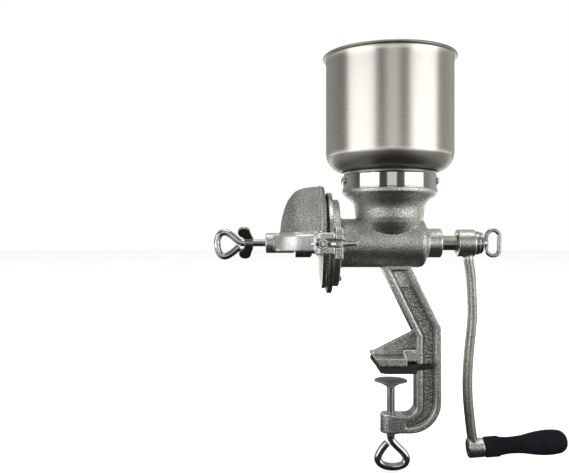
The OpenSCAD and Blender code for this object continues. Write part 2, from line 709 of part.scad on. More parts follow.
// Drive collar with two claws, pinned to the auger's stub
collar_r = 14.5;
drive_pin_r = 1.6;
collar_edge = 2;
claw_l = 5.6;
claw_w = 7.5;
claw_h = 6;
claw_turns = [50, 230];
module drive_collar() color(bright) at_axis() difference() {
    union() {
        along_x() rotate_extrude() polygon([[stub_r, collar_x], [collar_r - collar_edge, collar_x],
            [collar_r, collar_x + collar_edge], [collar_r, burr_hub_x - collar_edge],
            [collar_r - collar_edge, burr_hub_x], [stub_r, burr_hub_x]]);
        for (a = claw_turns) rotate([a, 0, 0])
            translate([collar_x - claw_l, collar_r - claw_h + over, -claw_w / 2])
                cube([claw_l + collar_edge + over, claw_h, claw_w]);
    }
    bar(stub_r + fit, collar_x - over, burr_hub_x + over);
    translate([(burr_hub_x + collar_x) / 2, 0, -collar_r - over])
        cylinder(r = drive_pin_r + fit, h = 2 * (collar_r + over));
}
module drive_pin() color(bright) at_axis() translate([(burr_hub_x + collar_x) / 2, 0, -collar_r + gap])
    cylinder(r = drive_pin_r, h = 2 * (collar_r - gap));

// Crank: hub with a square hole, curved arm, and an eye that holds the grip's pin
lower_in = 11.1;
lower_x = crank_x + lower_in;
lower_l = 15.8;
lower_r = 9.5;
grip_pin_r = 4;
// The arm's middle line: its drop in shares of the crank's reach, and its distance from the hub's face
// in shares of the hub's length
arm_drop_shares = [0.035, 0.1, 0.166, 0.278, 0.375, 0.497, 0.619, 0.74, 0.862, 0.96];
arm_out_shares = [0.629, 0.709, 0.817, 0.891, 0.891, 0.749, 0.64, 0.64, 0.766, 0.909];
module at_grip() translate([lower_x, 0, -crank_reach]) rotate([0, -grip_tilt, 0]) children();
module crank_arm() color(iron) at_axis() difference() {
    union() {
        bar(hub_r, crank_x, crank_end_x);
        skin(oval_rings(smooth([for (i = [0 : len(arm_out_shares) - 1])
            [crank_x + arm_out_shares[i] * hub_l, -arm_drop_shares[i] * crank_reach]], 3),
            crank_half_t, crank_half_w, 16));
        at_grip() bar(lower_r, 0, lower_l);
    }
    translate([crank_x - over, -drive_flat / 2 - fit, -drive_flat / 2 - fit])
        cube([hub_l + 2 * over, drive_flat + 2 * fit, drive_flat + 2 * fit]);
    at_grip() bar(grip_pin_r + fit, -over, lower_l + over);
}
grip_pin_l = grip_l * 0.9;
module grip_pin() color(bright) at_axis() at_grip() bar(grip_pin_r, 0, lower_l + grip_pin_l);
// Radius shares of the grip along shares of its length
grip_shares = [[0, 0.76], [0.02, 0.83], [0.175, 0.83], [0.195, 0.76], [0.31, 0.67], [0.45, 0.72], [0.6, 0.9],
    [0.74, 1], [0.86, 0.97], [0.93, 0.86], [0.975, 0.62], [1, 0]];
module grip() color(black) at_axis() at_grip() translate([lower_l + gap, 0, 0]) difference() {
    along_x() rotate_extrude() polygon(concat([[0, 0]],
        [for (s = grip_shares) [s[1] * grip_r, s[0] * grip_l]]));
    bar(grip_pin_r + fit, -over, grip_pin_l + over);
}

// Thumb screw and its washer, which hold the crank on the drive end
washer_r = 11.6;
washer_t = 4.2;
thumb_shoulder_r = 10.6;
thumb_shoulder_t = 5.6;
ring_half_w = 8.2;
ring_half_h = 14.6;
ring_t = 5.5;
ring_wall = 3.8;
module crank_washer() color(bright) at_axis() difference() {
    bar(washer_r, crank_end_x, crank_end_x + washer_t);
    bar(stud_r + fit, crank_end_x - over, crank_end_x + washer_t + over);
}
module ring_outline(inset) {
    r = ring_half_w - inset;
    for (z = [-1, 1] * (ring_half_h - ring_half_w)) translate([0, z]) circle(r);
    translate([-r, ring_half_w - ring_half_h]) square([2 * r, 2 * (ring_half_h - ring_half_w)]);
}
module thumb_screw() color(bright) at_axis() translate([crank_end_x + washer_t, 0, 0]) {
    bar(stud_r, drive_end_x - stud_l + over - crank_end_x - washer_t, over);
    along_x() rotate_extrude() polygon([[0, 0], [thumb_shoulder_r, 0],
        [thumb_shoulder_r, thumb_shoulder_t * 0.6], [ring_wall, thumb_shoulder_t],
        [ring_wall, thumb_shoulder_t + 2 * over], [0, thumb_shoulder_t + 2 * over]]);
    translate([thumb_shoulder_t + over / 2 + ring_half_w, 0, 0]) across(ring_t) difference() {
        ring_outline(0);
        ring_outline(ring_wall);
    }
}

// Clamp: a pad that doesn't turn, and the screw that turns in it and in the lower arm's boss
clamp_top_z = -jaw_drop - clamp_open;
clamp_rim_t = 1.6;
clamp_pad_t = 4.6;
clamp_hub_t = 2;
clamp_neck_z = clamp_top_z - clamp_pad_t - clamp_hub_t;
clamp_neck_r = 3;
clamp_neck_l = 5;
clamp_eye_drop = 6.3;
clamp_eye_z = -sole_z - boss_over - clamp_eye_drop;
clamp_eye_l = 29.5;
clamp_eye_w = 30.2;
clamp_eye_shift = 1.7;
clamp_wire_r = 3.75;
module clamp_pad() color(bright) at_axis() translate([boss_x, 0, 0]) rotate_extrude() difference() {
    polygon([[0, clamp_top_z], [clamp_pad_r, clamp_top_z], [clamp_pad_r, clamp_top_z - clamp_rim_t],
        [clamp_pad_r / 2, clamp_top_z - clamp_pad_t], [clamp_r, clamp_neck_z], [0, clamp_neck_z]]);
    translate([0, clamp_neck_z - over]) square([clamp_neck_r + fit, over + clamp_neck_l]);
}
module clamp_screw() color(bright) at_axis() translate([boss_x, 0, 0]) {
    translate([0, 0, clamp_eye_z]) cylinder(r = clamp_r, h = clamp_neck_z - gap / 3 - clamp_eye_z);
    translate([0, 0, clamp_neck_z - over]) cylinder(r = clamp_neck_r, h = over + clamp_neck_l - gap);
    translate([0, 0, clamp_eye_z + clamp_wire_r / 3]) rotate([0, 90, 0]) rotate([0, 0, 180])
        skin(oval_rings(smooth([for (s = eye_shares) [-s[0] * clamp_eye_l,
            s[1] * clamp_eye_w + clamp_eye_shift * sin(90 * max(s[0], 0))]], eye_steps),
            clamp_wire_r, clamp_wire_r, eye_sides));
}

mill_housing();
stationary_burr();
burr_screws();
rubber_pad();
hopper_bowl();
hopper_collar();
burr_cover();
thrust_ball();
adjusting_screw();
lock_wing_nut();
swing_bolt_near();
swing_bolt_far();
swing_pin_near();
swing_pin_far();
wing_nut_near();
wing_nut_far();
auger();
rotating_burr();
drive_collar();
drive_pin();
crank_arm();
grip_pin();
grip();
crank_washer();
thumb_screw();
clamp_screw();
clamp_pad();
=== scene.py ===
"""Hand grain mill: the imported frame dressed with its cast, turned, pressed and moulded pieces.

Lengths are typed in millimetres and made metres where a mesh is built. +X runs along the auger to
the crank, -Y faces the viewer and +Z is up. The origin is on the table face under the rubber pad.
"""
import json
import logging
import math
from contextlib import contextmanager
from dataclasses import dataclass
from enum import Enum
from typing import Callable, Iterator, Optional, Sequence

import bpy
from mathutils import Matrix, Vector

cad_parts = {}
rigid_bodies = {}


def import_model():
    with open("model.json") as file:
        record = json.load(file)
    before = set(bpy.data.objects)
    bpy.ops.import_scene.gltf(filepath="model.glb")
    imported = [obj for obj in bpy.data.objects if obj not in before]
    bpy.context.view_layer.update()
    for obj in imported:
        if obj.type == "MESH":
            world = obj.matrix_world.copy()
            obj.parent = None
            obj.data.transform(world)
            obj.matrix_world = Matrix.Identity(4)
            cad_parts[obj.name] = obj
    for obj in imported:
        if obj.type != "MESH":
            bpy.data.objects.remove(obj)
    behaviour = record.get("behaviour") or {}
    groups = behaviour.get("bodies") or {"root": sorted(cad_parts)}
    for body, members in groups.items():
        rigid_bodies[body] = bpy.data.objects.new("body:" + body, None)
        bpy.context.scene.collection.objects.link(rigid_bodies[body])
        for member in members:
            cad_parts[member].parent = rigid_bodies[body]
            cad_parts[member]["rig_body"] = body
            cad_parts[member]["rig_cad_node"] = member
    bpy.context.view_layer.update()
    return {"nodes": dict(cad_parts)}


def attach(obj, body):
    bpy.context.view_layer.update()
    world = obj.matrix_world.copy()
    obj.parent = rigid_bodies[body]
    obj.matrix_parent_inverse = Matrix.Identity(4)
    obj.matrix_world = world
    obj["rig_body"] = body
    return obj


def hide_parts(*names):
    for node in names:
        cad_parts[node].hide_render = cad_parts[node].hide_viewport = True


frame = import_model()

log = logging.getLogger("grain_mill")

MM = 0.001
AXIS_Z = 122.5
WELD = 2e-6
MOST_TRIANGLES = 188_000

Point = tuple[float, float, float]
Pair = tuple[float, float]
Colour = tuple[float, float, float]
Piece = bpy.types.Object
Socket = bpy.types.NodeSocket
Outputs = bpy.types.NodeOutputs

ORIGIN: Point = (0.0, 0.0, 0.0)


class Axis(Enum):
    """The line a turned piece runs along."""

    X = (1.0, 0.0, 0.0)
    Y = (0.0, 1.0, 0.0)
    Z = (0.0, 0.0, 1.0)


class Slot(Enum):
    """Material slots of the record."""

    CASTING = "casting"
    BURR = "burr_iron"
    PLATED = "plated_steel"
    HOPPER = "hopper_steel"
    COLLAR = "collar_steel"
    RUBBER = "pad_rubber"
    GRIP = "grip_plastic"


# Bench: selection and the hand tools that every sub-assembly uses


def take(piece: Optional[Piece] = None) -> None:
    """Leaves object mode clean, with piece alone selected and active, or with nothing selected."""
    if bpy.context.mode != "OBJECT":
        bpy.ops.object.mode_set(mode="OBJECT")
    bpy.ops.object.select_all(action="DESELECT")
    if piece:
        piece.select_set(True)
        bpy.context.view_layer.objects.active = piece


@contextmanager
def shaping(piece: Piece, pick: Optional[Callable[[Vector], bool]] = None) -> Iterator[Piece]:
    """Opens a piece in edit mode and closes it again.

    Args:
        piece: The mesh to shape.
        pick: Chooses the vertices that start selected, by their place in millimetres. All if left out.

    Returns:
        The piece, while it is open.
    """
    take(piece)
    for element in (*piece.data.polygons, *piece.data.edges):
        element.select = False
    for vertex in piece.data.vertices:
        vertex.select = pick is None or pick((piece.matrix_world @ vertex.co) / MM)
    bpy.ops.object.mode_set(mode="EDIT")
    bpy.ops.mesh.select_mode(type="VERT")
    if pick is None:
        bpy.ops.mesh.select_all(action="SELECT")
    yield piece
    bpy.ops.object.mode_set(mode="OBJECT")


def weld(reach: float = WELD) -> None:
    """Merges the points of the open piece that meet."""
    bpy.ops.mesh.select_all(action="SELECT")
    bpy.ops.mesh.remove_doubles(threshold=reach)


def seal(reach: float = WELD) -> None:
    """Welds the open piece and turns its faces outwards."""
    weld(reach)
    bpy.ops.mesh.normals_make_consistent(inside=False)


def settle(piece: Piece) -> Piece:
    """Puts a piece's place, turn and scale into its mesh, so that its object sits at the origin."""
    take(piece)
    bpy.ops.object.transform_apply(location=True, rotation=True, scale=True)
    return piece


def smooth(piece: Piece, degrees: float = 38.0) -> Piece:
    """Shades a piece smooth where its faces meet at less than an angle."""
    take(piece)
    bpy.ops.object.shade_smooth_by_angle(angle=math.radians(degrees))
    return piece


def modified(piece: Piece, kind: str, **settings: object) -> Piece:
    """Adds a modifier of a kind to a piece, sets it and applies it."""
    take(piece)
    bpy.ops.object.modifier_add(type=kind)
    modifier = piece.modifiers[-1]
    for name, value in settings.items():
        setattr(modifier, name, value)
    bpy.ops.object.modifier_apply(modifier=modifier.name)
    return piece


def joined(name: str, *parts: Piece) -> Piece:
    """Joins parts into one piece."""
    take(parts[0])
    for part in parts[1:]:
        part.select_set(True)
    bpy.ops.object.join()
    parts[0].name = name
    return parts[0]


def copied(piece: Piece, name: str) -> Piece:
    """A copy with its own mesh."""
    take(piece)
    bpy.ops.object.duplicate(linked=False)
    copy = bpy.context.active_object
    copy.name = name
    return copy


def placed(piece: Piece, name: str, place: Point, turn: Point = ORIGIN) -> Piece:
    """A copy with its own mesh, turned by Euler angles and set down at a place in millimetres."""
    copy = copied(piece, name)
    copy.rotation_euler = turn
    copy.location = Vector(place) * MM
    return settle(copy)


def laid(piece: Piece, axis: Axis, to: Point, flip: bool = False) -> Piece:
    """Lays a piece that stands on +Z along another axis.

    Args:
        piece: The standing piece.
        axis: The axis it should run along.
        to: Where its origin goes, in millimetres.
        flip: Whether it runs towards that axis's low end.

    Returns:
        The same piece, settled.
    """
    quarter = -math.pi / 2 if flip else math.pi / 2
    piece.rotation_euler = {Axis.X: (0.0, quarter, 0.0), Axis.Y: (-quarter, 0.0, 0.0), Axis.Z: ORIGIN}[axis]
    piece.location = Vector(to) * MM
    return settle(piece)


def discard(*pieces: Piece) -> None:
    """Throws away pieces that have served as patterns or tools."""
    for piece in pieces:
        bpy.data.objects.remove(piece)


def cut(piece: Piece, tool: Piece) -> Piece:
    """Cuts a tool out of a piece and throws the tool away."""
    modified(piece, "BOOLEAN", operation="DIFFERENCE", solver="EXACT", object=tool)
    discard(tool)
    return piece


def traced(name: str, points: Sequence[Point], closed: bool = False) -> Piece:
    """Draws a line from one vertex, stroke by stroke.

    Args:
        name: Name of the new piece.
        points: Corners of the line, in millimetres.
        closed: Whether the line returns to its first corner.

    Returns:
        A mesh of edges alone.
    """
    take()
    bpy.ops.mesh.primitive_plane_add(size=MM, location=Vector(points[0]) * MM)
    piece = bpy.context.active_object
    piece.name = name
    path = [Vector(p) * MM for p in points]
    if closed:
        path.append(path[0])
    with shaping(piece):
        bpy.ops.mesh.merge(type="CENTER")
        for here, there in zip(path, path[1:]):
            bpy.ops.mesh.extrude_vertices_move(TRANSFORM_OT_translate={"value": there - here})
        weld(WELD / 2)
    return settle(piece)


def turned(name: str, profile: Sequence[Pair], axis: Axis, centre: Point = (0.0, 0.0, AXIS_Z),
           steps: int = 96, edge: float = 0.0, closed: bool = False) -> Piece:
    """Turns a profile about an axis, as on a lathe.

    Args:
        name: Name of the new piece.
        profile: Pairs of radius and station along the axis, in millimetres.
        axis: The axis of the lathe, X or Z.
        centre: A point of the axis.
        steps: Facets round the piece.
        edge: Round given to the profile's corners.
        closed: Whether the profile is a ring that doesn't touch the axis.

    Returns:
        A closed, smooth piece.
    """
    cx, cy, cz = centre
    points = [(s, cy, cz + r) if axis is Axis.X else (cx + r, cy, s) for r, s in profile]
    piece = traced(name, points, closed)
    if edge:
        with shaping(piece):
            bpy.ops.mesh.bevel(offset=edge * MM, segments=3, affect="VERTICES", clamp_overlap=True)
            weld()
    with shaping(piece):
        bpy.ops.mesh.spin(steps=steps, angle=math.tau, center=Vector(centre) * MM, axis=axis.value)
        seal(2 * WELD)
    return smooth(piece)


def fused(piece: Piece, voxel: float, passes: int) -> Piece:
    """Melts a piece's shells into one skin with soft corners, and thins it where it is too fine.

    Args:
        piece: A closed mesh.
        voxel: Size of the skin's faces in millimetres.
        passes: Passes of smoothing.

    Returns:
        The same piece.
    """
    modified(piece, "REMESH", mode="VOXEL", voxel_size=voxel * MM, adaptivity=0.0, use_smooth_shade=True)
    modified(piece, "SMOOTH", factor=0.5, iterations=passes)
    triangles = sum(len(face.vertices) - 2 for face in piece.data.polygons)
    if triangles > MOST_TRIANGLES:
        modified(piece, "DECIMATE", ratio=MOST_TRIANGLES / triangles)
    take(piece)
    bpy.ops.object.shade_smooth()
    return piece


def solid_of(node: str, name: str) -> Piece:
    """A free copy of a node's solid, with its own mesh, to be worked on."""
    piece = copied(frame["nodes"][node], name)
    bpy.ops.object.parent_clear(type="CLEAR_KEEP_TRANSFORM")
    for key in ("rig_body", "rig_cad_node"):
        if key in piece:
            del piece[key]
    piece.data.materials.clear()
    with shaping(piece):
        weld()
    return piece


def cast_from(node: str, name: str, voxel: float, passes: int) -> Piece:
    """A casting's skin, drawn over the solid of a node. The arguments are those of solid_of and fused."""
    return fused(solid_of(node, name), voxel, passes)


def flowing(points: Sequence[Pair], steps: int) -> list[Pair]:
    """A smooth line through pairs, each stretch in so many steps."""
    last = len(points) - 1
    line: list[Pair] = []
    for i in range(last):
        p, q, r, s = (points[max(0, min(last, i + k))] for k in (-1, 0, 1, 2))
        for step in range(steps):
            t = step / steps
            line.append(tuple(
                0.5 * (2 * b + (c - a) * t + (2 * a - 5 * b + 4 * c - d) * t * t
                       + (3 * b - a - 3 * c + d) * t ** 3)
                for a, b, c, d in zip(p, q, r, s)))
    line.append(points[last])
    return line


def swept(centre: Pair, radius: float, start: float, end: float, steps: int) -> list[Pair]:
    """Pairs along an arc, from one angle to another in degrees."""
    angles = [math.radians(start + (end - start) * i / steps) for i in range(steps + 1)]
    return [(centre[0] + radius * math.cos(a), centre[1] + radius * math.sin(a)) for a in angles]


def bent_bar(name: str, path: Sequence[Pair], radius: float, tip: float) -> Piece:
    """A round bar bent along a smooth path in the XZ plane.

    Args:
        name: Name of the new piece.
        path: Points of its middle line in X and Z, in millimetres.
        radius: Radius of the bar.
        tip: Length over which its far end is rounded off.

    Returns:
        A closed mesh.
    """
    take()
    bpy.ops.curve.primitive_bezier_curve_add(location=ORIGIN)
    curve = bpy.context.active_object
    curve.name = name
    data = curve.data
    data.splines.clear()
    line = data.splines.new("POLY")
    line.points.add(len(path) - 1)
    left = sum(math.dist(a, b) for a, b in zip(path, path[1:]))
    for index, (x, z) in enumerate(path):
        if index:
            left -= math.dist(path[index], path[index - 1])
        share = min(1.0, left / tip)
        line.points[index].co = (x * MM, 0.0, z * MM, 1.0)
        line.points[index].radius = math.sqrt(max(0.04, 1 - (1 - share) ** 2))
    data.dimensions = "3D"
    data.twist_mode = "MINIMUM"
    data.bevel_depth = radius * MM
    data.bevel_resolution = 8
    data.use_fill_caps = True
    take(curve)
    bpy.ops.object.convert(target="MESH")
    piece = bpy.context.active_object
    with shaping(piece):
        seal()
    return smooth(piece, 50)


EYE_SHARES: tuple[Pair, ...] = (
    (0.1, 0.02), (0.27, 0.14), (0.44, 0.3), (0.6, 0.42), (0.77, 0.46), (0.92, 0.37), (1, 0.15), (1, -0.13),
    (0.92, -0.36), (0.78, -0.47), (0.62, -0.45), (0.46, -0.36), (0.34, -0.27), (0.25, -0.19), (0.18, -0.125))


def eye_line(length: float, width: float, sag: float) -> list[Pair]:
    """The middle line of a screw's bent eye, as pairs of way out and way aside. It sags to one side."""
    return [(s * length, w * width + sag * math.sin(math.pi / 2 * s)) for s, w in EYE_SHARES]


THREAD_FORM: tuple[Pair, ...] = ((0, 0.0), (0, 0.12), (1, 0.46), (1, 0.62), (0, 0.96), (0, 1.0))
THREAD_SIDES = 28


def threaded(name: str, radius: float, start: float, end: float, pitch: float, depth: float,
             point: float) -> Piece:
    """A threaded rod that stands on +Z at the origin.

    Args:
        name: Name of the new piece.
        radius: Radius over the thread's crests.
        start: Height where it begins.
        end: Height where it ends.
        pitch: Advance of the thread in one turn.
        depth: Depth of the thread.
        point: Length of the chamfer at its top.

    Returns:
        A closed rod with a right-hand thread.
    """
    root, low = radius - depth, start - 2 * pitch
    piece = traced(name, [(root + d * depth, 0.0, low + s * pitch) for d, s in THREAD_FORM])
    turns = math.ceil((end - low) / pitch) + 2
    modified(piece, "SCREW", axis="Z", angle=math.tau, screw_offset=pitch * MM, steps=THREAD_SIDES,
             render_steps=THREAD_SIDES, iterations=turns, use_merge_vertices=True, merge_threshold=WELD / 2)
    planes = [((0, 0, end), (0, 0, 1)), ((0, 0, start), (0, 0, -1))]
    inner = radius - 1.6 * depth
    for side in range(THREAD_SIDES):
        x, y = swept((0, 0), 1.0, 360 * (side + 0.5) / THREAD_SIDES, 0, 1)[0]
        planes.append(((inner * x, inner * y, end), (point * x, point * y, radius - inner)))
    with shaping(piece):
        weld()
        for place, normal in planes:
            bpy.ops.mesh.select_all(action="SELECT")
            bpy.ops.mesh.bisect(plane_co=Vector(place) * MM, plane_no=normal, use_fill=True, clear_outer=True,
                                threshold=WELD / 2)
        seal(WELD / 2)
    return smooth(piece, 40)


def lofted(name: str, rings: Sequence[Sequence[Point]]) -> Piece:
    """A skin over rings of as many points, each bridged to the next, with its ends filled."""
    piece = joined(name, *(traced(f"{name}_{index}", ring, True) for index, ring in enumerate(rings)))
    with shaping(piece):
        bpy.ops.mesh.bridge_edge_loops()
    with shaping(piece):
        bpy.ops.mesh.fill_holes(sides=0)
        bpy.ops.mesh.normals_make_consistent(inside=False)
    return piece


def framed(name: str, rings: Sequence[Sequence[Point]]) -> Piece:
    """A skin over rings of as many points that closes on itself, as a picture frame does."""
    bands = []
    for index, (here, there) in enumerate(zip(rings, [*rings[1:], rings[0]])):
        band = joined(f"{name}_{index}", traced("here", here, True), traced("there", there, True))
        with shaping(band):
            bpy.ops.mesh.bridge_edge_loops()
        bands.append(band)
    piece = joined(name, *bands)
    with shaping(piece):
        seal()
    return piece


def slab(name: str, corners: Sequence[Point], move: Point) -> Piece:
    """A flat outline pushed out into a solid.

    Args:
        name: Name of the new piece.
        corners: Corners of the outline, in millimetres.
        move: How far and which way it is pushed, in millimetres.

    Returns:
        A closed mesh.
    """
    piece = traced(name, corners, True)
    with shaping(piece):
        bpy.ops.mesh.edge_face_add()
        bpy.ops.mesh.extrude_region_move(TRANSFORM_OT_translate={"value": Vector(move) * MM})
        seal()
    return piece


# Finishes: node groups that several materials share, and the materials


def rgba(colour: Colour) -> tuple[float, float, float, float]:
    """A colour with full alpha."""
    return (*colour, 1.0)


def scale_of(size: float) -> float:
    """The scale of a texture whose features are about size millimetres across."""
    return 1 / (size * MM)


class Tree:
    """A node tree under construction."""

    def __init__(self, tree: bpy.types.NodeTree) -> None:
        """Keeps the tree and empties it."""
        self.tree = tree
        tree.nodes.clear()

    def add(self, kind: str, sets: Optional[dict[str, object]] = None, **inputs: object) -> Outputs:
        """Adds a node.

        Args:
            kind: Blender's type of node.
            sets: Properties of the node itself.
            **inputs: Its inputs by name, with _ for a blank; i0, i1 and so on name an input by number.
                A socket is linked and anything else is set.

        Returns:
            The node's outputs.
        """
        node = self.tree.nodes.new(kind)
        for name, value in (sets or {}).items():
            setattr(node, name, value)
        for name, value in inputs.items():
            by_number = name[0] == "i" and name[1:].isdigit()
            socket = node.inputs[int(name[1:])] if by_number else node.inputs[name.replace("_", " ")]
            if isinstance(value, Socket):
                self.tree.links.new(value, socket)
            else:
                socket.default_value = value
        return node.outputs

    def use(self, nodes: bpy.types.NodeTree, **inputs: object) -> Outputs:
        """Puts a node group to use, and gives its outputs."""
        return self.add("ShaderNodeGroup", {"node_tree": nodes}, **inputs)

    def maths(self, kind: str, a: object, b: object = 0.0, clamp: bool = False) -> Socket:
        """One step of arithmetic on two values."""
        return self.add("ShaderNodeMath", {"operation": kind, "use_clamp": clamp}, i0=a, i1=b)[0]

    def plus(self, a: object, b: object, clamp: bool = False) -> Socket:
        """The sum of two values."""
        return self.maths("ADD", a, b, clamp)

    def minus(self, a: object, b: object, clamp: bool = False) -> Socket:
        """The difference of two values."""
        return self.maths("SUBTRACT", a, b, clamp)

    def times(self, a: object, b: object) -> Socket:
        """The product of two values."""
        return self.maths("MULTIPLY", a, b)

    def vector(self, kind: str, a: object, b: object = ORIGIN) -> Outputs:
        """One step of arithmetic on two vectors."""
        return self.add("ShaderNodeVectorMath", {"operation": kind}, i0=a, i1=b)

    def ramp(self, value: object, low: object, high: float, to_low: float = 0.0, to_high: float = 1.0,
             shape: str = "SMOOTHSTEP") -> Socket:
        """A value taken from one range to another and held at both ends."""
        return self.add("ShaderNodeMapRange", {"interpolation_type": shape}, Value=value, From_Min=low,
                        From_Max=high, To_Min=to_low, To_Max=to_high)[0]

    def mix(self, share: object, a: object, b: object) -> Socket:
        """A colour between two others."""
        return self.add("ShaderNodeMix", {"data_type": "RGBA"}, i0=share, i6=a, i7=b)[2]

    def noise(self, place: Socket, scale: object, detail: float, rough: float = 0.5) -> Socket:
        """Cloudy noise."""
        return self.add("ShaderNodeTexNoise", Vector=place, Scale=scale, Detail=detail, Roughness=rough)[0]

    def cells(self, place: Socket, scale: object) -> Socket:
        """Distance to the nearest of many scattered points."""
        return self.add("ShaderNodeTexVoronoi", {"feature": "F1"}, Vector=place, Scale=scale)[0]

    def end_in(self, **inputs: object) -> None:
        """Ends a material in its shader, with the shader's inputs by name."""
        self.add("ShaderNodeOutputMaterial", Surface=self.add("ShaderNodeBsdfPrincipled", **inputs)[0])

    def bump(self, height: Socket, depth: float) -> Socket:
        """The normal of a skin whose relief is depth millimetres deep."""
        return self.add("ShaderNodeBump", Height=height, Strength=1.0, Distance=depth * MM)[0]


NUMBER, PLACE = "NodeSocketFloat", "NodeSocketVector"


def group(name: str, inputs: dict[str, str], outputs: dict[str, str]) -> tuple[Tree, Outputs]:
    """Starts a shader node group.

    Args:
        name: Name of the group.
        inputs: Kind of each input by name.
        outputs: Kind of each output by name.

    Returns:
        The tree, and the group's inputs as sockets by name.
    """
    nodes = bpy.data.node_groups.new(name, "ShaderNodeTree")
    for way, sockets in (("INPUT", inputs), ("OUTPUT", outputs)):
        for label, kind in sockets.items():
            nodes.interface.new_socket(name=label, in_out=way, socket_type=kind)
    tree = Tree(nodes)
    return tree, tree.add("NodeGroupInput")


class Effects:
    """The effects that more than one finish uses, each built once."""

    def __init__(self) -> None:
        """Builds every group."""
        self.grain = self._sand_grain()
        self.edges = self._edge_masks()
        self.zone = self._zone_mask()
        self.marks = self._tool_marks()

    @staticmethod
    def _sand_grain() -> bpy.types.NodeTree:
        """The skin that a sand mould leaves: grains, pits and slow changes of tone."""
        tree, given = group("sand_grain", {"Place": PLACE, "Grain": NUMBER},
                            {"Height": NUMBER, "Speckle": NUMBER, "Mottle": NUMBER})
        place, scale = given["Place"], tree.maths("DIVIDE", 1 / MM, given["Grain"])
        lumps = tree.noise(place, scale, 2.0, 0.6)
        fine = tree.noise(place, tree.times(scale, 2.7), 1.0)
        pits = tree.cells(place, tree.times(scale, 0.7))
        slow = tree.noise(place, scale_of(26.0), 3.0, 0.55)
        height = tree.plus(tree.times(lumps, 0.75), tree.times(fine, 0.3))
        height = tree.minus(height, tree.times(pits, 0.45))
        speckle = tree.plus(tree.ramp(lumps, 0.36, 0.62, 0.0, 0.8), tree.ramp(fine, 0.3, 0.7, 0.0, 0.2))
        speckle = tree.minus(speckle, tree.ramp(pits, 0.50, 0.95, 0.0, 0.7), True)
        tree.add("NodeGroupOutput", Height=height, Speckle=speckle, Mottle=tree.ramp(slow, 0.3, 0.7))
        return tree.tree

    @staticmethod
    def _edge_masks() -> bpy.types.NodeTree:
        """Masks of ridges, which hands and tools rub bright and which also carry a painted highlight, and of
        hollows, which carry painted shade.
        """
        tree, given = group("edge_masks", {"Pointiness": NUMBER, "Reach": NUMBER},
                            {"Ridge": NUMBER, "Hollow": NUMBER})
        bend = tree.times(tree.minus(given["Pointiness"], 0.5), given["Reach"])
        tree.add("NodeGroupOutput", Ridge=tree.ramp(bend, 0.12, 0.7), Hollow=tree.ramp(bend, -0.12, -0.7))
        return tree.tree

    @staticmethod
    def _zone_mask() -> bpy.types.NodeTree:
        """1 inside a box of the object's own space and 0 outside, with a soft border."""
        tree, given = group("zone_mask", {"Place": PLACE, "Middle": PLACE, "Half": PLACE, "Border": NUMBER},
                            {"Mask": NUMBER})
        away = tree.vector("ABSOLUTE", tree.vector("SUBTRACT", given["Place"], given["Middle"])[0])[0]
        x, y, z = tree.add("ShaderNodeSeparateXYZ", Vector=tree.vector("SUBTRACT", away, given["Half"])[0])
        furthest = tree.maths("MAXIMUM", tree.maths("MAXIMUM", x, y), z)
        tree.add("NodeGroupOutput", Mask=tree.ramp(furthest, given["Border"], 0.0, shape="LINEAR"))
        return tree.tree

    @staticmethod
    def _tool_marks() -> bpy.types.NodeTree:
        """Fine lines that a lathe, a brush or a drawing die leaves, stretched along the stated scale."""
        tree, given = group("tool_marks", {"Place": PLACE, "Stretch": PLACE},
                            {"Height": NUMBER, "Tone": NUMBER})
        lines = tree.noise(tree.vector("MULTIPLY", given["Place"], given["Stretch"])[0], 1.0, 4.0, 0.6)
        tree.add("NodeGroupOutput", Height=lines, Tone=tree.ramp(lines, 0.3, 0.7))
        return tree.tree


def new_material(name: str) -> tuple[bpy.types.Material, Tree, Socket]:
    """Starts a material, and gives its tree and the object's own coordinates."""
    material = bpy.data.materials.new(name)
    material.use_nodes = True
    tree = Tree(material.node_tree)
    return material, tree, tree.add("ShaderNodeTexCoord")["Object"]


@dataclass(frozen=True)
class Zone:
    """A part of a casting: a box in millimetres from its low to its high corner."""

    low: Point
    high: Point


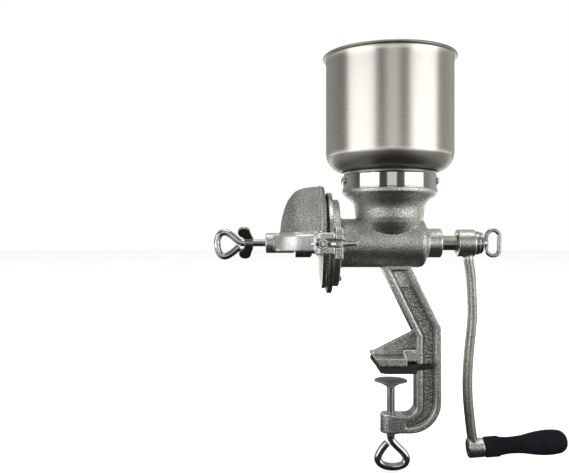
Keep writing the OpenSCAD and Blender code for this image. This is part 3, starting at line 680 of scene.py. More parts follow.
@dataclass(frozen=True)
class CastIron:
    """Sand-cast iron under tin: a satin, speckled skin, rubbed bright on its ridges, with a painted highlight
    there as well and painted shade in its hollows.
    """

    name: str
    light: Colour
    dark: Colour
    gloss: Pair
    grain: float
    depth: float
    reach: float
    machined: tuple[Zone, ...] = ()
    ground: tuple[Zone, ...] = ()
    pebbled: tuple[Zone, ...] = ()
    pebble: float = 2.1

    def material(self, effects: Effects) -> bpy.types.Material:
        """Builds the material."""
        material, tree, place = new_material(self.name)

        def within(zones: tuple[Zone, ...], border: float = 1.0) -> object:
            """A mask of several zones together, with a soft border in millimetres."""
            mask: object = 0.0
            for zone in zones:
                low, high = Vector(zone.low) * MM, Vector(zone.high) * MM
                box = tree.use(effects.zone, Place=place, Middle=(low + high) / 2, Half=(high - low) / 2,
                               Border=border * MM)
                mask = tree.maths("MAXIMUM", mask, box[0])
            return mask

        skin = tree.use(effects.grain, Place=place, Grain=self.grain)
        bend = tree.add("ShaderNodeNewGeometry")["Pointiness"]
        edges = tree.use(effects.edges, Pointiness=bend, Reach=self.reach)
        turned_part, ground, coarse = within(self.machined, 1.2), within(self.ground), within(self.pebbled)
        tone = tree.plus(tree.times(skin["Speckle"], 0.78), tree.times(skin["Mottle"], 0.22), True)
        pebbles = tree.cells(place, scale_of(self.pebble))
        tone = tree.minus(tone, tree.times(coarse, tree.ramp(pebbles, 0.22, 0.62, 0.25, 1.0)), True)
        bright = rgba(tuple(min(1.0, c * 1.22) for c in self.light))
        # The colour of the painted shade in the hollows.
        hollow_shade = rgba(tuple(c * 0.55 for c in self.dark))
        colour = tree.mix(tone, rgba(self.dark), rgba(self.light))
        # Ridges lighter for rubbed wear and as a painted highlight; hollows darker as painted shade.
        colour = tree.mix(tree.times(edges["Ridge"], 0.8), colour, bright)
        colour = tree.mix(tree.times(edges["Hollow"], 0.7), colour, hollow_shade)
        colour = tree.mix(tree.times(turned_part, 0.62), colour, bright)
        rough = tree.ramp(skin["Speckle"], 0.0, 1.0, self.gloss[1], self.gloss[0])
        rough = tree.minus(rough, tree.times(edges["Ridge"], 0.1))
        rough = tree.plus(rough, tree.times(turned_part, 0.04))
        rough = tree.minus(rough, tree.times(ground, 0.12))
        height = tree.times(skin["Height"], tree.minus(1.0, tree.times(turned_part, 0.3)))
        height = tree.minus(height, tree.times(tree.times(coarse, pebbles), 1.7))
        tree.end_in(Base_Color=colour, Metallic=1.0, Roughness=rough, Normal=tree.bump(height, self.depth))
        return material


@dataclass(frozen=True)
class TurnedSteel:
    """Bright steel with the fine lines of its making: plated screws, or the brushed or polished hopper.

    What lies nearer the Z axis than inside is darkened with painted shade, and what lies further from it than
    roll, on the rolled rim, with a painted dark reflection.
    """

    name: str
    light: Colour
    dark: Colour
    gloss: Pair
    stretch: Point
    depth: float
    haze: float = 14.0
    inside: float = 0.0
    roll: float = 0.0

    def material(self, effects: Effects) -> bpy.types.Material:
        """Builds the material."""
        material, tree, place = new_material(self.name)
        marks = tree.use(effects.marks, Place=place, Stretch=self.stretch)
        haze = tree.ramp(tree.noise(place, scale_of(self.haze), 3.0, 0.6), 0.32, 0.7)
        tone = tree.plus(tree.times(marks["Tone"], 0.5), tree.times(haze, 0.5), True)
        colour = tree.mix(tone, rgba(self.dark), rgba(self.light))
        rough = tree.ramp(tone, 0.0, 1.0, self.gloss[1], self.gloss[0])
        # Painted shade nearer the axis than inside, and a painted dark reflection on the rolled rim beyond roll:
        # the colour is mixed towards near black.
        if self.inside:
            radius = tree.vector("LENGTH", tree.vector("MULTIPLY", place, (1.0, 1.0, 0.0))[0])["Value"]
            shade = tree.ramp(radius, self.inside * MM, (self.inside + 0.2) * MM, 1.0, 0.0)
            if self.roll:
                shade = tree.plus(shade, tree.ramp(radius, self.roll * MM, (self.roll + 0.5) * MM), True)
            colour = tree.mix(tree.times(shade, 0.55), colour, rgba((0.08, 0.08, 0.07)))
            rough = tree.plus(rough, tree.times(shade, 0.08))
        tree.end_in(Base_Color=colour, Metallic=1.0, Roughness=rough,
                    Normal=tree.bump(marks["Height"], self.depth))
        return material


@dataclass(frozen=True)
class Moulded:
    """Black plastic or rubber with a fine moulded skin, its ridges paler for rubbed wear and with a painted
    highlight.
    """

    name: str
    light: Colour
    dark: Colour
    gloss: Pair
    grain: float
    depth: float
    shine: float

    def material(self, effects: Effects) -> bpy.types.Material:
        """Builds the material."""
        material, tree, place = new_material(self.name)
        skin = tree.use(effects.grain, Place=place, Grain=self.grain)
        bend = tree.add("ShaderNodeNewGeometry")["Pointiness"]
        edges = tree.use(effects.edges, Pointiness=bend, Reach=8.0)
        colour = tree.mix(skin["Mottle"], rgba(self.dark), rgba(self.light))
        # Paler ridges: rubbed wear together with a painted highlight.
        pale = rgba(tuple(min(1.0, c * 1.9) for c in self.light))
        colour = tree.mix(tree.times(edges["Ridge"], 0.5), colour, pale)
        tree.end_in(Base_Color=colour, Roughness=tree.ramp(skin["Mottle"], 0.0, 1.0, *self.gloss),
                    Specular_IOR_Level=self.shine, Normal=tree.bump(skin["Height"], self.depth))
        return material


Recipe = CastIron | TurnedSteel | Moulded

REAR_BOSS = Zone((36.4, -15.0, 107.0), (51.5, 15.0, 138.0))
CRANK_EYES = (Zone((64.0, -15.0, 107.0), (86.0, 15.0, 138.0)),
              Zone((75.0, -13.0, -96.0), (97.0, 13.0, -70.0)))

CASTING = CastIron(
    "tinned_casting", (1.0, 1.0, 0.945), (0.37, 0.37, 0.34), gloss=(0.24, 0.38), grain=1.05, depth=0.38,
    reach=16.0, pebbled=(Zone((-6.0, -5.6, -64.0), (50.0, 5.6, 78.0)),),
    machined=(Zone((-46.0, -46.0, 177.0), (46.0, 46.0, 189.0)), REAR_BOSS,
              Zone((-9.6, -11.0, -67.5), (12.2, 11.0, -46.0))),
    ground=(Zone((-9.6, -11.5, -67.5), (12.2, 11.5, -46.0)), REAR_BOSS))
COVER_IRON = CastIron(
    "cover_casting", (1.0, 1.0, 0.95), (0.38, 0.38, 0.355), gloss=(0.24, 0.38), grain=1.05, depth=0.38,
    reach=14.0, machined=(Zone((-112.0, -58.0, 113.0), (-62.0, 58.0, 132.0)),),
    pebbled=(Zone((-125.0, -60.0, 134.0), (-60.0, 60.0, 190.0)),), pebble=1.5)
CRANK_IRON = CastIron(
    "crank_forging", (0.74, 0.745, 0.69), (0.32, 0.32, 0.29), gloss=(0.26, 0.42), grain=1.2, depth=0.30,
    reach=9.0, machined=CRANK_EYES, ground=CRANK_EYES)
AUGER_IRON = CastIron(
    "auger_iron", (0.47, 0.46, 0.40), (0.26, 0.25, 0.215), gloss=(0.28, 0.42), grain=0.8, depth=0.09, reach=4.0)
BURR_IRON = CastIron(
    "burr_iron", (0.70, 0.695, 0.64), (0.36, 0.355, 0.325), gloss=(0.26, 0.42), grain=0.8, depth=0.10,
    reach=14.0)
NUT_IRON = CastIron(
    "lock_nut_iron", (0.56, 0.555, 0.51), (0.20, 0.20, 0.18), gloss=(0.18, 0.34), grain=0.9, depth=0.14,
    reach=9.0)
COLLAR_IRON = CastIron(
    "drive_collar_zinc", (0.74, 0.75, 0.76), (0.40, 0.41, 0.42), gloss=(0.14, 0.30), grain=0.8, depth=0.10,
    reach=5.0)
ZINC_ROD = TurnedSteel(
    "zinc_rod", (0.76, 0.77, 0.78), (0.50, 0.51, 0.52), (0.07, 0.16), stretch=(700, 700, 160), depth=0.012)
ZINC_ROD_X = TurnedSteel(
    "zinc_screw", (0.76, 0.77, 0.78), (0.50, 0.51, 0.52), (0.07, 0.16), stretch=(160, 600, 600), depth=0.012)
ZINC_PART = TurnedSteel(
    "zinc_part", (0.70, 0.71, 0.72), (0.46, 0.47, 0.48), (0.14, 0.28), stretch=(500, 500, 500), depth=0.02)
BOLT_ZINC = TurnedSteel(
    "bolt_zinc", (0.58, 0.59, 0.60), (0.30, 0.31, 0.32), (0.09, 0.20), stretch=(500, 500, 500), depth=0.02)
PRESSED_ZINC = TurnedSteel(
    "pressed_zinc", (0.92, 0.93, 0.94), (0.80, 0.81, 0.82), (0.42, 0.55), stretch=(300, 300, 300), depth=0.02)
# The hopper gets painted shade inside 62.6 mm and a painted dark reflection on its rolled rim beyond 64.5 mm.
SATIN_STEEL = TurnedSteel(
    "satin_hopper", (0.70, 0.68, 0.62), (0.68, 0.66, 0.60), (0.27, 0.29), stretch=(14, 14, 2200),
    depth=0.00006, haze=70.0, inside=62.6, roll=64.5)
# The collar gets painted shade on its inner face, inside 45.6 mm.
MIRROR_STEEL = TurnedSteel(
    "polished_collar", (0.78, 0.77, 0.73), (0.72, 0.71, 0.67), (0.08, 0.12), stretch=(18, 18, 1600),
    depth=0.0003, haze=40.0, inside=45.6)
RUBBER = Moulded(
    "black_rubber", (0.010, 0.010, 0.011), (0.006, 0.006, 0.007), (0.52, 0.66), grain=0.6, depth=0.05, shine=0.2)
GRIP_PLASTIC = Moulded(
    "black_grip", (0.008, 0.008, 0.011), (0.005, 0.005, 0.007), (0.48, 0.58), grain=1.2, depth=0.03, shine=0.07)


class Wardrobe:
    """Every finish, made once and handed out by its recipe."""

    def __init__(self) -> None:
        """Builds the shared effects."""
        self.effects = Effects()
        self.made: dict[str, bpy.types.Material] = {}

    def of(self, recipe: Recipe) -> bpy.types.Material:
        """The material of a recipe."""
        if recipe.name not in self.made:
            self.made[recipe.name] = recipe.material(self.effects)
        return self.made[recipe.name]


@dataclass
class SubAssembly:
    """A group of pieces that are made together. It holds the finishes and fits pieces to the frame."""

    wardrobe: Wardrobe

    def fit(self, piece: Piece, recipe: Recipe, body: str, slot: Slot, node: str) -> None:
        """Dresses a piece and gives it to its body.

        Args:
            piece: The finished mesh.
            recipe: Its finish.
            body: The body it moves with.
            slot: The record's slot of its finish; not used.
            node: The node it stands for.
        """
        settle(piece)
        piece.data.materials.clear()
        piece.data.materials.append(self.wardrobe.of(recipe))
        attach(piece, body)
        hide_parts(node)
        log.info("%s: %d faces on %s", piece.name, len(piece.data.polygons), body)

    def dress(self, node: str, recipe: Recipe, slot: Slot) -> None:
        """Gives a node that stays in view its finish."""
        shown = frame["nodes"][node]
        shown.data.materials.clear()
        shown.data.materials.append(self.wardrobe.of(recipe))
        log.info("%s: node dressed", node)


@dataclass(frozen=True)
class ArmRecess:
    """The recess in the arm, measured from the auger's axis: a leaning leg, an upright one and a foot.

    The leaning leg lies between front_x and back_x at the height start. An arc round inner and one
    round outer lead from the upright leg into the foot.
    """

    lean: float = 26.3
    start: float = 24.2
    cut: float = 2.5
    front_x: float = -8.5
    back_x: float = 20.7
    inner: Pair = (15.5, -160.4)
    inner_r: float = 10.0
    outer: Pair = (18.9, -156.9)
    outer_r: float = 31.0
    end_x: float = 14.4

    def outline(self, inset: float) -> list[Pair]:
        """Its outline in X and Z, moved inwards by an inset."""
        lean = math.radians(self.lean)
        top, slope = -self.start - self.cut, math.tan(lean)
        aside, shift, slide = inset / math.cos(lean), inset * math.tan(lean / 2), self.cut * slope
        inner_x, outer_x = self.inner[0] + self.inner_r, self.outer[0] + self.outer_r
        line = [(self.front_x + aside + slide, top),
                (inner_x + inset, -self.start - (inner_x - self.front_x) / slope + shift)]
        line += swept(self.inner, self.inner_r + inset, 0, -90, 8)
        line += [(self.end_x, self.inner[1] - self.inner_r - inset),
                 (self.end_x, self.outer[1] - self.outer_r + inset)]
        line += swept(self.outer, self.outer_r - inset, -90, 0, 12)
        line += [(outer_x - inset, -self.start - (outer_x - self.back_x) / slope - shift),
                 (self.back_x - aside + slide, top)]
        return [(x, AXIS_Z + z) for x, z in line]


@dataclass
class Housing(SubAssembly):
    """The body casting with its fixed burr, burr screws and rubber pad."""

    skin: float = 0.8
    recess: ArmRecess = ArmRecess()
    rim_y: float = 10.7
    rim_w: float = 5.4
    web_y: float = 4.3
    draft_w: float = 3.2
    jaw_x: float = -17.0
    jaw_y: float = 29.0
    jaw_slope: Pair = (3.8, 7.5)
    burr_x: float = -63.6
    flange_x: float = -58.6
    burr_r: float = 50.0
    burr_hole: float = 18.5
    tooth: float = 1.5
    screw_ring: float = 37.4
    screw_turns: tuple[float, ...] = (45.0, 165.0, 285.0)
    pad_t: float = 4.0
    wing_y: float = 45.2
    tail_y: float = 29.6
    rib_x: float = -11.0
    rib_y: float = 29.4
    rib_pitch: float = 2.35
    ribs: int = 12
    groove_r: float = 0.62
    groove_l: float = 27.0

    def build(self) -> None:
        """Makes every piece of the housing."""
        self.casting()
        self.fixed_burr()
        self.burr_screws()
        self.rubber_pad()

    def casting(self) -> None:
        """The body casting, with the soft corners that a sand mould leaves and a jaw that slopes to its end."""
        x, y, z = self.jaw_x - 1, -self.jaw_y, self.pad_t
        along, up = self.jaw_slope
        slope = slab("jaw_slope", [(x, y, z - 1), (x + 1 + along, y, z - 1), (x, y, z + up)],
                     (0, 2 * self.jaw_y, 0))
        piece = cut(solid_of("mill_housing", "body_casting"), slope)
        piece = joined("body_casting", piece, self.draft(-1), self.draft(1))
        self.fit(fused(piece, self.skin, 3), CASTING, "body", Slot.CASTING, "mill_housing")

    def draft(self, side: int) -> Piece:
        """The sloped foot of the arm's rim on one side, as the pattern needs to leave the sand."""
        face, web, buried = side * self.rim_y, side * self.web_y, self.rim_w - 1.0
        places = ((buried, face), (self.rim_w, face), (self.rim_w + self.draft_w, web), (buried, web))
        rings = [[(x, y, z) for x, z in self.recess.outline(inset)] for inset, y in places]
        return framed(f"arm_draft_{side + 2}", rings)

    def fixed_burr(self) -> None:
        """The fixed burr, with fine teeth round its rim and coarse ones inside."""
        x0, x1, hole, r = self.burr_x, self.flange_x, self.burr_hole, self.burr_r
        ring = toothed_disc("fixed_burr", [
            (hole, x1), (hole, x0 + 0.6), (hole + 0.6, x0), (22.0, x0), (32.0, x0), (42.6, x0), (43.2, x0),
            (49.2, x0), (r, x0 + 0.8), (r, x1 - 0.4), (r - 0.4, x1)], self.tooth, 1)
        self.fit(ring, BURR_IRON, "body", Slot.BURR, "stationary_burr")

    def burr_screws(self) -> None:
        """Three slotted countersunk screws, modelled once and copied round the ring."""
        x, slot = self.burr_x + 1.1, 0.6
        profile = [(0, x), (4.0, x), (4.5, x + 0.5), (4.5, x + 1.2), (2.6, x + 2.4), (2.6, x + 14.2),
                   (1.8, x + 15.2), (0, x + 15.2)]
        screw = turned("screw", profile, Axis.X, ORIGIN, 32)
        cut(screw, slab("slot", [(x - 1, -slot, 6), (x + 1.1, -slot, 6), (x + 1.1, slot, 6), (x - 1, slot, 6)],
                        (0, 0, -12)))
        ring = []
        for turn in self.screw_turns:
            y, z = swept((0, AXIS_Z), self.screw_ring, turn, 0, 1)[0]
            ring.append(placed(screw, "burr_screw", (0, y, z), (math.radians(turn) + 0.6, 0, 0)))
        discard(screw)
        self.fit(smooth(joined("burr_screws_set", *ring)), ZINC_PART, "body", Slot.PLATED, "burr_screws")

    def rubber_pad(self) -> None:
        """The pad under the jaw: rounded ribs on both wings and two hooks behind the arm's rim."""
        wing, tail = self.wing_y, self.tail_y
        half = [(-14.0, 0), (-14.6, 20), (-14.6, wing - 6), (-12.8, wing - 1.8), (-8.6, wing), (14.4, wing),
                (18.6, wing - 1.8), (20.4, wing - 6), (20.9, tail + 1.0), (22.0, tail - 0.8), (38.0, 19.4),
                (39.2, 18.3), (39.2, 9.6), (38.3, 8.7), (35.1, 8.7), (34.3, 9.5), (33.9, 11.05), (25.2, 11.05),
                (25.2, 0)]
        corners = half + [(x, -y) for x, y in half[-2:0:-1]]
        pad = slab("rubber_pad_moulding", [(x, y, 0.05) for x, y in corners], (0, 0, self.pad_t - 0.1))
        modified(pad, "BEVEL", width=0.7 * MM, segments=3, limit_method="ANGLE", angle_limit=math.radians(50))
        take()
        bpy.ops.mesh.primitive_cylinder_add(vertices=16, radius=self.groove_r * MM, depth=self.groove_l * MM,
                                            rotation=(math.pi / 2, 0, 0))
        groove = settle(bpy.context.active_object)
        grooves = [placed(groove, "rib_groove", (self.rib_x + i * self.rib_pitch, side * self.rib_y, 0.0))
                   for side in (-1, 1) for i in range(self.ribs)]
        discard(groove)
        cut(pad, joined("grooves", *grooves))
        self.fit(smooth(pad, 35), RUBBER, "body", Slot.RUBBER, "rubber_pad")


def toothed_disc(name: str, profile: Sequence[Pair], tooth: float, into: int) -> Piece:
    """A burr: a turned ring whose face is cut with teeth.

    Args:
        name: Name of the piece.
        profile: Its closed profile as pairs of radius and station.
        tooth: Depth of the teeth.
        into: Which way along X the teeth are cut, 1 or -1.

    Returns:
        The burr.
    """
    ring = turned(name, profile, Axis.X, steps=360, closed=True)
    stations = [s for _, s in profile]
    face = min(stations) if into > 0 else max(stations)

    def in_band(place: Vector, low: float, high: float, every: int, wide: int) -> bool:
        """Whether a point of the face lies in a groove of the band."""
        y, z = place.y, place.z - AXIS_Z
        spoke = round(math.degrees(math.atan2(z, y))) % every
        return abs(place.x - face) < 0.02 + (0.9 if low > 40 else 0.0) \
            and low < math.hypot(y, z) < high and spoke < wide

    for band in ((43.0, 51.0, 4, 2), (21.0, 33.0, 10, 4)):
        with shaping(ring, lambda p: in_band(p, *band)):
            bpy.ops.transform.translate(value=(into * tooth * MM, 0, 0))
    for low, high, turn in ((43.0, 51.0, 3.0), (31.0, 33.0, 6.0)):
        with shaping(ring, lambda p: abs(p.x - face) < 1.0 and low < math.hypot(p.y, p.z - AXIS_Z) < high):
            bpy.ops.transform.rotate(value=math.radians(turn), orient_axis="X",
                                     center_override=(0, 0, AXIS_Z * MM))
    return smooth(ring, 30)


@dataclass
class Hopper(SubAssembly):
    """The pressed bowl with its rolled rim, and the collar that slips over the socket ring."""

    mouth_z: float = 175.6
    wall_r: float = 63.25
    height: float = 132.6
    sheet: float = 0.8
    neck_r: float = 45.25
    shoulder: float = 20.0
    rim_r: float = 1.6
    collar_r: float = 45.3
    collar_h: float = 15.5
    bead: Point = (2.4, 13.0, 4.6)
    bead_z: float = 8.4

    def build(self) -> None:
        """Makes the bowl and the collar."""
        self.bowl()
        self.collar()

    def bowl(self) -> None:
        """The bowl, drawn from one sheet."""
        t, z0, r = self.sheet, self.mouth_z, self.wall_r
        base, top = z0 + self.collar_h + 1.5 * t, z0 + self.height
        foot, flare = z0 + 12.5, top - 9.0
        middle = (r - self.shoulder, base + self.shoulder)
        profile = [(self.neck_r, foot), (self.neck_r, base)]
        profile += swept(middle, self.shoulder, -84, 0, 16)
        profile += flowing([(r, flare - 10), (r, flare), (r + 0.5, flare + 4.0), (r + 0.9, top - 3.4)], 4)
        profile += swept((r + self.rim_r, top - self.rim_r), self.rim_r, -120, 150, 12)
        profile += [(r + 0.15, top - 3.0)]
        profile += flowing([(r - t + 0.5, flare + 4.0), (r - t, flare), (r - t, flare - 10)], 4)
        profile += swept(middle, self.shoulder - t, 0, -84, 16)
        profile += [(self.neck_r - t, base + t), (self.neck_r - t, foot)]
        bowl = turned("hopper_bowl_sheet", profile, Axis.Z, ORIGIN, 160, closed=True)
        self.fit(smooth(bowl, 60), SATIN_STEEL, "hopper", Slot.HOPPER, "hopper_bowl")

    def collar(self) -> None:
        """The collar: a plain band with a bead pressed out at each side, and a small hem at its foot."""
        z0, z1, inner = self.mouth_z, self.mouth_z + self.collar_h, self.collar_r
        r = inner + self.sheet
        profile = [(r + 0.6, z0), (r + 0.6, z0 + 0.6), (r, z0 + 1.2), (r, z0 + 7.0), (r, z1 - 1.6),
                   (inner + 3.0, z1 - 0.5), (inner + 3.1, z1), (inner, z1), (inner, z0)]
        band = turned("collar_band", profile, Axis.Z, ORIGIN, 160, closed=True)
        smooth(band, 50)
        take()
        bpy.ops.mesh.primitive_uv_sphere_add(segments=32, ring_count=16, radius=MM, location=ORIGIN)
        bead = bpy.context.active_object
        bead.scale = self.bead
        smooth(settle(bead), 60)
        beads = [placed(bead, f"bead_{side}", (side * (r - 0.2), 0.0, z0 + self.bead_z)) for side in (-1, 1)]
        discard(bead)
        collar = joined("hopper_collar_band", band, *beads)
        self.fit(collar, MIRROR_STEEL, "hopper", Slot.COLLAR, "hopper_collar")


@dataclass
class Cover(SubAssembly):
    """The burr cover with its pins, swing bolts and nuts, the thrust ball, and the adjusting screw."""

    skin: float = 0.85
    pivot_x: float = -71.4
    pivot_r: float = 63.5
    pin_half: float = 10.0
    bolt_r: float = 2.5
    bolt_l: float = 32.5
    thread_z: float = 12.0
    screw_x: float = -141.0
    screw_r: float = 3.7
    screw_l: float = 31.0
    eye_x: float = -145.4
    eye_l: float = 26.4
    eye_w: float = 25.6
    eye_sag: float = -1.2
    wire_r: float = 3.4

    def build(self) -> None:
        """Makes every piece of the cover."""
        hood = cast_from("burr_cover", "cover_casting", self.skin, 3)
        self.fit(hood, COVER_IRON, "cover", Slot.CASTING, "burr_cover")
        self.dress("thrust_ball", ZINC_PART, Slot.PLATED)
        self.pins()
        self.bolts()
        self.adjuster()

    def pins(self) -> None:
        """The two pins, with their heads domed by the hammer."""
        low, high = AXIS_Z - self.pin_half, AXIS_Z + self.pin_half
        dome = flowing([(0.0, high + 2.0), (1.7, high + 1.7), (3.0, high + 0.8), (3.4, high)], 4)
        profile = [(0, low - 1), (1.5, low - 1), (2.0, low - 0.5), (2.0, high)] + dome[::-1]
        far = turned("swing_pin_far_rivet", profile, Axis.Z, (self.pivot_x, self.pivot_r, 0), 40)
        near = placed(far, "swing_pin_near_rivet", (0, -2 * self.pivot_r, 0))
        self.fit(far, ZINC_PART, "cover", Slot.PLATED, "swing_pin_far")
        self.fit(near, ZINC_PART, "cover", Slot.PLATED, "swing_pin_near")

    def bolts(self) -> None:
        """The swing bolts: a flattened eye on a threaded shank, and a wing nut with square tabs."""
        top = self.thread_z
        shank = threaded("shank", self.bolt_r, top, self.bolt_l, 1.25, 0.35, 0.6)
        plain = turned("plain", [(0, 2.0), (self.bolt_r - 0.25, 2.0), (self.bolt_r - 0.2, top), (0, top + 0.4)],
                       Axis.Z, ORIGIN, 28)
        eye = turned("eye", [(2.05, -2.9), (3.8, -2.9), (4.2, -2.4), (4.2, 2.4), (3.8, 2.9), (2.05, 2.9)],
                     Axis.Z, ORIGIN, 40, closed=True)
        for side, way in (("far", 1), ("near", -1)):
            pivot = (self.pivot_x, way * self.pivot_r, AXIS_Z)
            bars = [laid(copied(part, "bar"), Axis.Y, pivot, way < 0) for part in (shank, plain)]
            bolt = joined(f"swing_bolt_{side}_bar", placed(eye, f"eye_{side}", pivot), *bars)
            self.fit(bolt, BOLT_ZINC, f"bolt_{side}", Slot.PLATED, f"swing_bolt_{side}")
            nut = cast_from(f"wing_nut_{side}", f"wing_nut_{side}_pressing", 0.32, 4)
            self.fit(nut, BOLT_ZINC, f"nut_{side}", Slot.PLATED, f"wing_nut_{side}")
        discard(shank, plain, eye)

    def adjuster(self) -> None:
        """The adjusting screw, bent into an eye at its end, and its lock nut."""
        rod = threaded("adjuster_thread", self.screw_r, 0.0, self.screw_l, 1.25, 0.5, 0.8)
        laid(rod, Axis.X, (self.screw_x, 0, AXIS_Z))
        path = [(self.eye_x + 4.8, AXIS_Z), (self.eye_x + 1.6, AXIS_Z)]
        path += [(self.eye_x - out, AXIS_Z + up) for out, up in eye_line(self.eye_l, self.eye_w, self.eye_sag)]
        eye = bent_bar("adjuster_eye", flowing(path, 8), self.wire_r, 0.9)
        screw = joined("adjusting_screw_bar", rod, eye)
        self.fit(screw, ZINC_ROD_X, "adjuster", Slot.PLATED, "adjusting_screw")
        nut = cast_from("lock_wing_nut", "lock_nut_casting", 0.42, 5)
        self.fit(nut, NUT_IRON, "lock_nut", Slot.PLATED, "lock_wing_nut")


@dataclass
class Grinder(SubAssembly):
    """What turns in the barrel: the auger, the turning burr and its drive collar.

    The run_ fields are the last stretch of the auger's flight: its turns, its width, how far short of
    the shoulder it stops, how low it ends, and its section as shares of width and height.
    """

    burr_hub_x: float = -77.4
    grind_x: float = -64.1
    plate_r: float = 45.0
    tooth: float = 0.9
    shoulder_x: float = 23.7
    crest_x: float = -0.2
    pitch: float = 22.4
    core_r: float = 7.7
    flight_r: float = 17.2
    run_turns: float = 0.85
    run_w: float = 12.0
    run_gap: float = 3.4
    run_low: float = 0.72
    run_steps: int = 44
    run_shares: tuple[Pair, ...] = ((-0.34, -0.3), (-0.27, 0.3), (-0.2, 0.7), (-0.1, 0.95), (0.02, 1.0),
                                    (0.14, 0.85), (0.26, 0.5), (0.38, 0.1), (0.44, -0.3))

    def build(self) -> None:
        """Makes every piece of the grinder."""
        screw = joined("auger_screw", solid_of("auger", "auger_screw"), self.run_out())
        self.fit(fused(screw, 0.55, 3), AUGER_IRON, "grinder", Slot.BURR, "auger")
        self.turning_burr()
        collar = cast_from("drive_collar", "drive_collar_dog", 0.42, 3)
        self.fit(collar, COLLAR_IRON, "grinder", Slot.PLATED, "drive_collar")
        self.dress("drive_pin", ZINC_PART, Slot.PLATED)

    def run_out(self) -> Piece:
        """The last stretch of the auger's flight, which sinks into the core at the shoulder."""
        end_x, rings = self.shoulder_x - self.run_gap, []
        for step in range(self.run_steps + 1):
            left = 1 - step / self.run_steps
            x = end_x - self.run_turns * self.pitch * left
            angle = math.tau * (x - self.crest_x) / self.pitch
            height = (self.flight_r - self.core_r) * (self.run_low + (1 - self.run_low) * min(1.0, 2.2 * left))
            radii = [(x + s * self.run_w, self.core_r + h * height) for s, h in self.run_shares]
            rings.append([(place, r * math.sin(angle), AXIS_Z + r * math.cos(angle)) for place, r in radii])
        return lofted("auger_run_out", rings)

    def turning_burr(self) -> None:
        """The turning burr: a dished back that runs out to a thin rim, and a toothed face."""
        x0, x1, r = self.burr_hub_x, self.grind_x, self.plate_r
        back = flowing([(10.5, x0), (11.4, x0 + 3.7), (15.0, x0 + 6.4), (24.0, x0 + 7.7), (34.0, x0 + 8.3),
                        (r, x0 + 8.8)], 5)
        profile = [(6.6, x0)] + back + [(r, x1 - 0.9), (r - 0.8, x1), (43.4, x1), (43.1, x1), (42.6, x1),
                                        (32.0, x1), (22.0, x1), (6.6, x1)]
        disc = toothed_disc("turning_burr", profile, self.tooth, -1)
        self.fit(disc, BURR_IRON, "grinder", Slot.BURR, "rotating_burr")


@dataclass
class Crank(SubAssembly):
    """The crank with its grip, washer and thumb screw."""

    lower_x: float = 78.1
    reach: float = 205.3
    tilt: float = 4.4
    grip_start: float = 16.1
    grip_l: float = 83.3
    grip_r: float = 12.3
    bore_r: float = 4.2
    bore_l: float = 0.88
    grip_shares: tuple[Pair, ...] = (
        (0.0, 0.70), (0.012, 0.79), (0.03, 0.83), (0.155, 0.83), (0.172, 0.82), (0.183, 0.765), (0.22, 0.72),
        (0.31, 0.67), (0.45, 0.72), (0.6, 0.9), (0.74, 1.0), (0.86, 0.97), (0.93, 0.86), (0.972, 0.63),
        (0.992, 0.36), (1.0, 0.0))
    end_x: float = 84.5
    washer_t: float = 4.2
    washer_r: float = 11.6
    stud_r: float = 3.3
    stud_l: float = 14.7
    bow: Pair = (8.2, 14.6)

    def build(self) -> None:
        """Makes every piece of the crank."""
        arm = cast_from("crank_arm", "crank_forging", 0.75, 5)
        self.fit(arm, CRANK_IRON, "crank", Slot.CASTING, "crank_arm")
        self.dress("grip_pin", ZINC_PART, Slot.PLATED)
        self.grip()
        self.washer()
        self.thumb_screw()

    def grip(self) -> None:
        """The grip: a shoulder, a waist, and a swelling that the palm fills, with a bore for its pin."""
        line = flowing([(w * self.grip_r, s * self.grip_l) for s, w in self.grip_shares], 4)
        bottom = self.grip_l * self.bore_l
        profile = [(0, bottom), (self.bore_r, bottom), (self.bore_r, 0.0)]
        profile += [(r, s) for r, s in line if r > 0.001] + [(0, line[-1][1])]
        piece = smooth(turned("grip_moulding", profile, Axis.Z, ORIGIN, 72), 45)
        angle = math.radians(self.tilt)
        along = Vector((math.cos(angle), 0, math.sin(angle)))
        piece.rotation_euler = (0, math.pi / 2 - angle, 0)
        piece.location = (Vector((self.lower_x, 0, AXIS_Z - self.reach)) + along * self.grip_start) * MM
        self.fit(piece, GRIP_PLASTIC, "handle", Slot.GRIP, "grip")

    def washer(self) -> None:
        """The thick washer against the crank's hub."""
        x0, x1, r = self.end_x, self.end_x + self.washer_t, self.washer_r
        profile = [(3.4, x0), (r, x0), (r, x1), (3.4, x1)]
        washer = turned("crank_washer_disc", profile, Axis.X, steps=72, edge=0.45, closed=True)
        self.fit(washer, ZINC_PART, "washer", Slot.PLATED, "crank_washer")

    def thumb_screw(self) -> None:
        """The thumb screw: a threaded stud, a coned shoulder and an oval ring."""
        x0, half_x = self.end_x + self.washer_t, self.bow[0]
        stud = threaded("thumb_stud", self.stud_r, 0.0, self.stud_l, 1.25, 0.45, 0.7)
        laid(stud, Axis.X, (x0 + 0.5, 0, AXIS_Z), True)
        profile = [(0, x0), (10.2, x0), (10.6, x0 + 0.4), (10.6, x0 + 2.9), (10.0, x0 + 3.5), (6.4, x0 + 4.7),
                   (4.6, x0 + 5.6), (4.0, x0 + 8.4), (0, x0 + 8.6)]
        shoulder = turned("thumb_shoulder", profile, Axis.X, steps=72)
        ring = stadium_ring("thumb_ring_bow", (x0 + 6.6 + half_x, 0, AXIS_Z), *self.bow, wall=3.8, thick=5.5)
        screw = joined("thumb_screw_bow", stud, shoulder, ring)
        self.fit(screw, ZINC_PART, "thumb", Slot.PLATED, "thumb_screw")


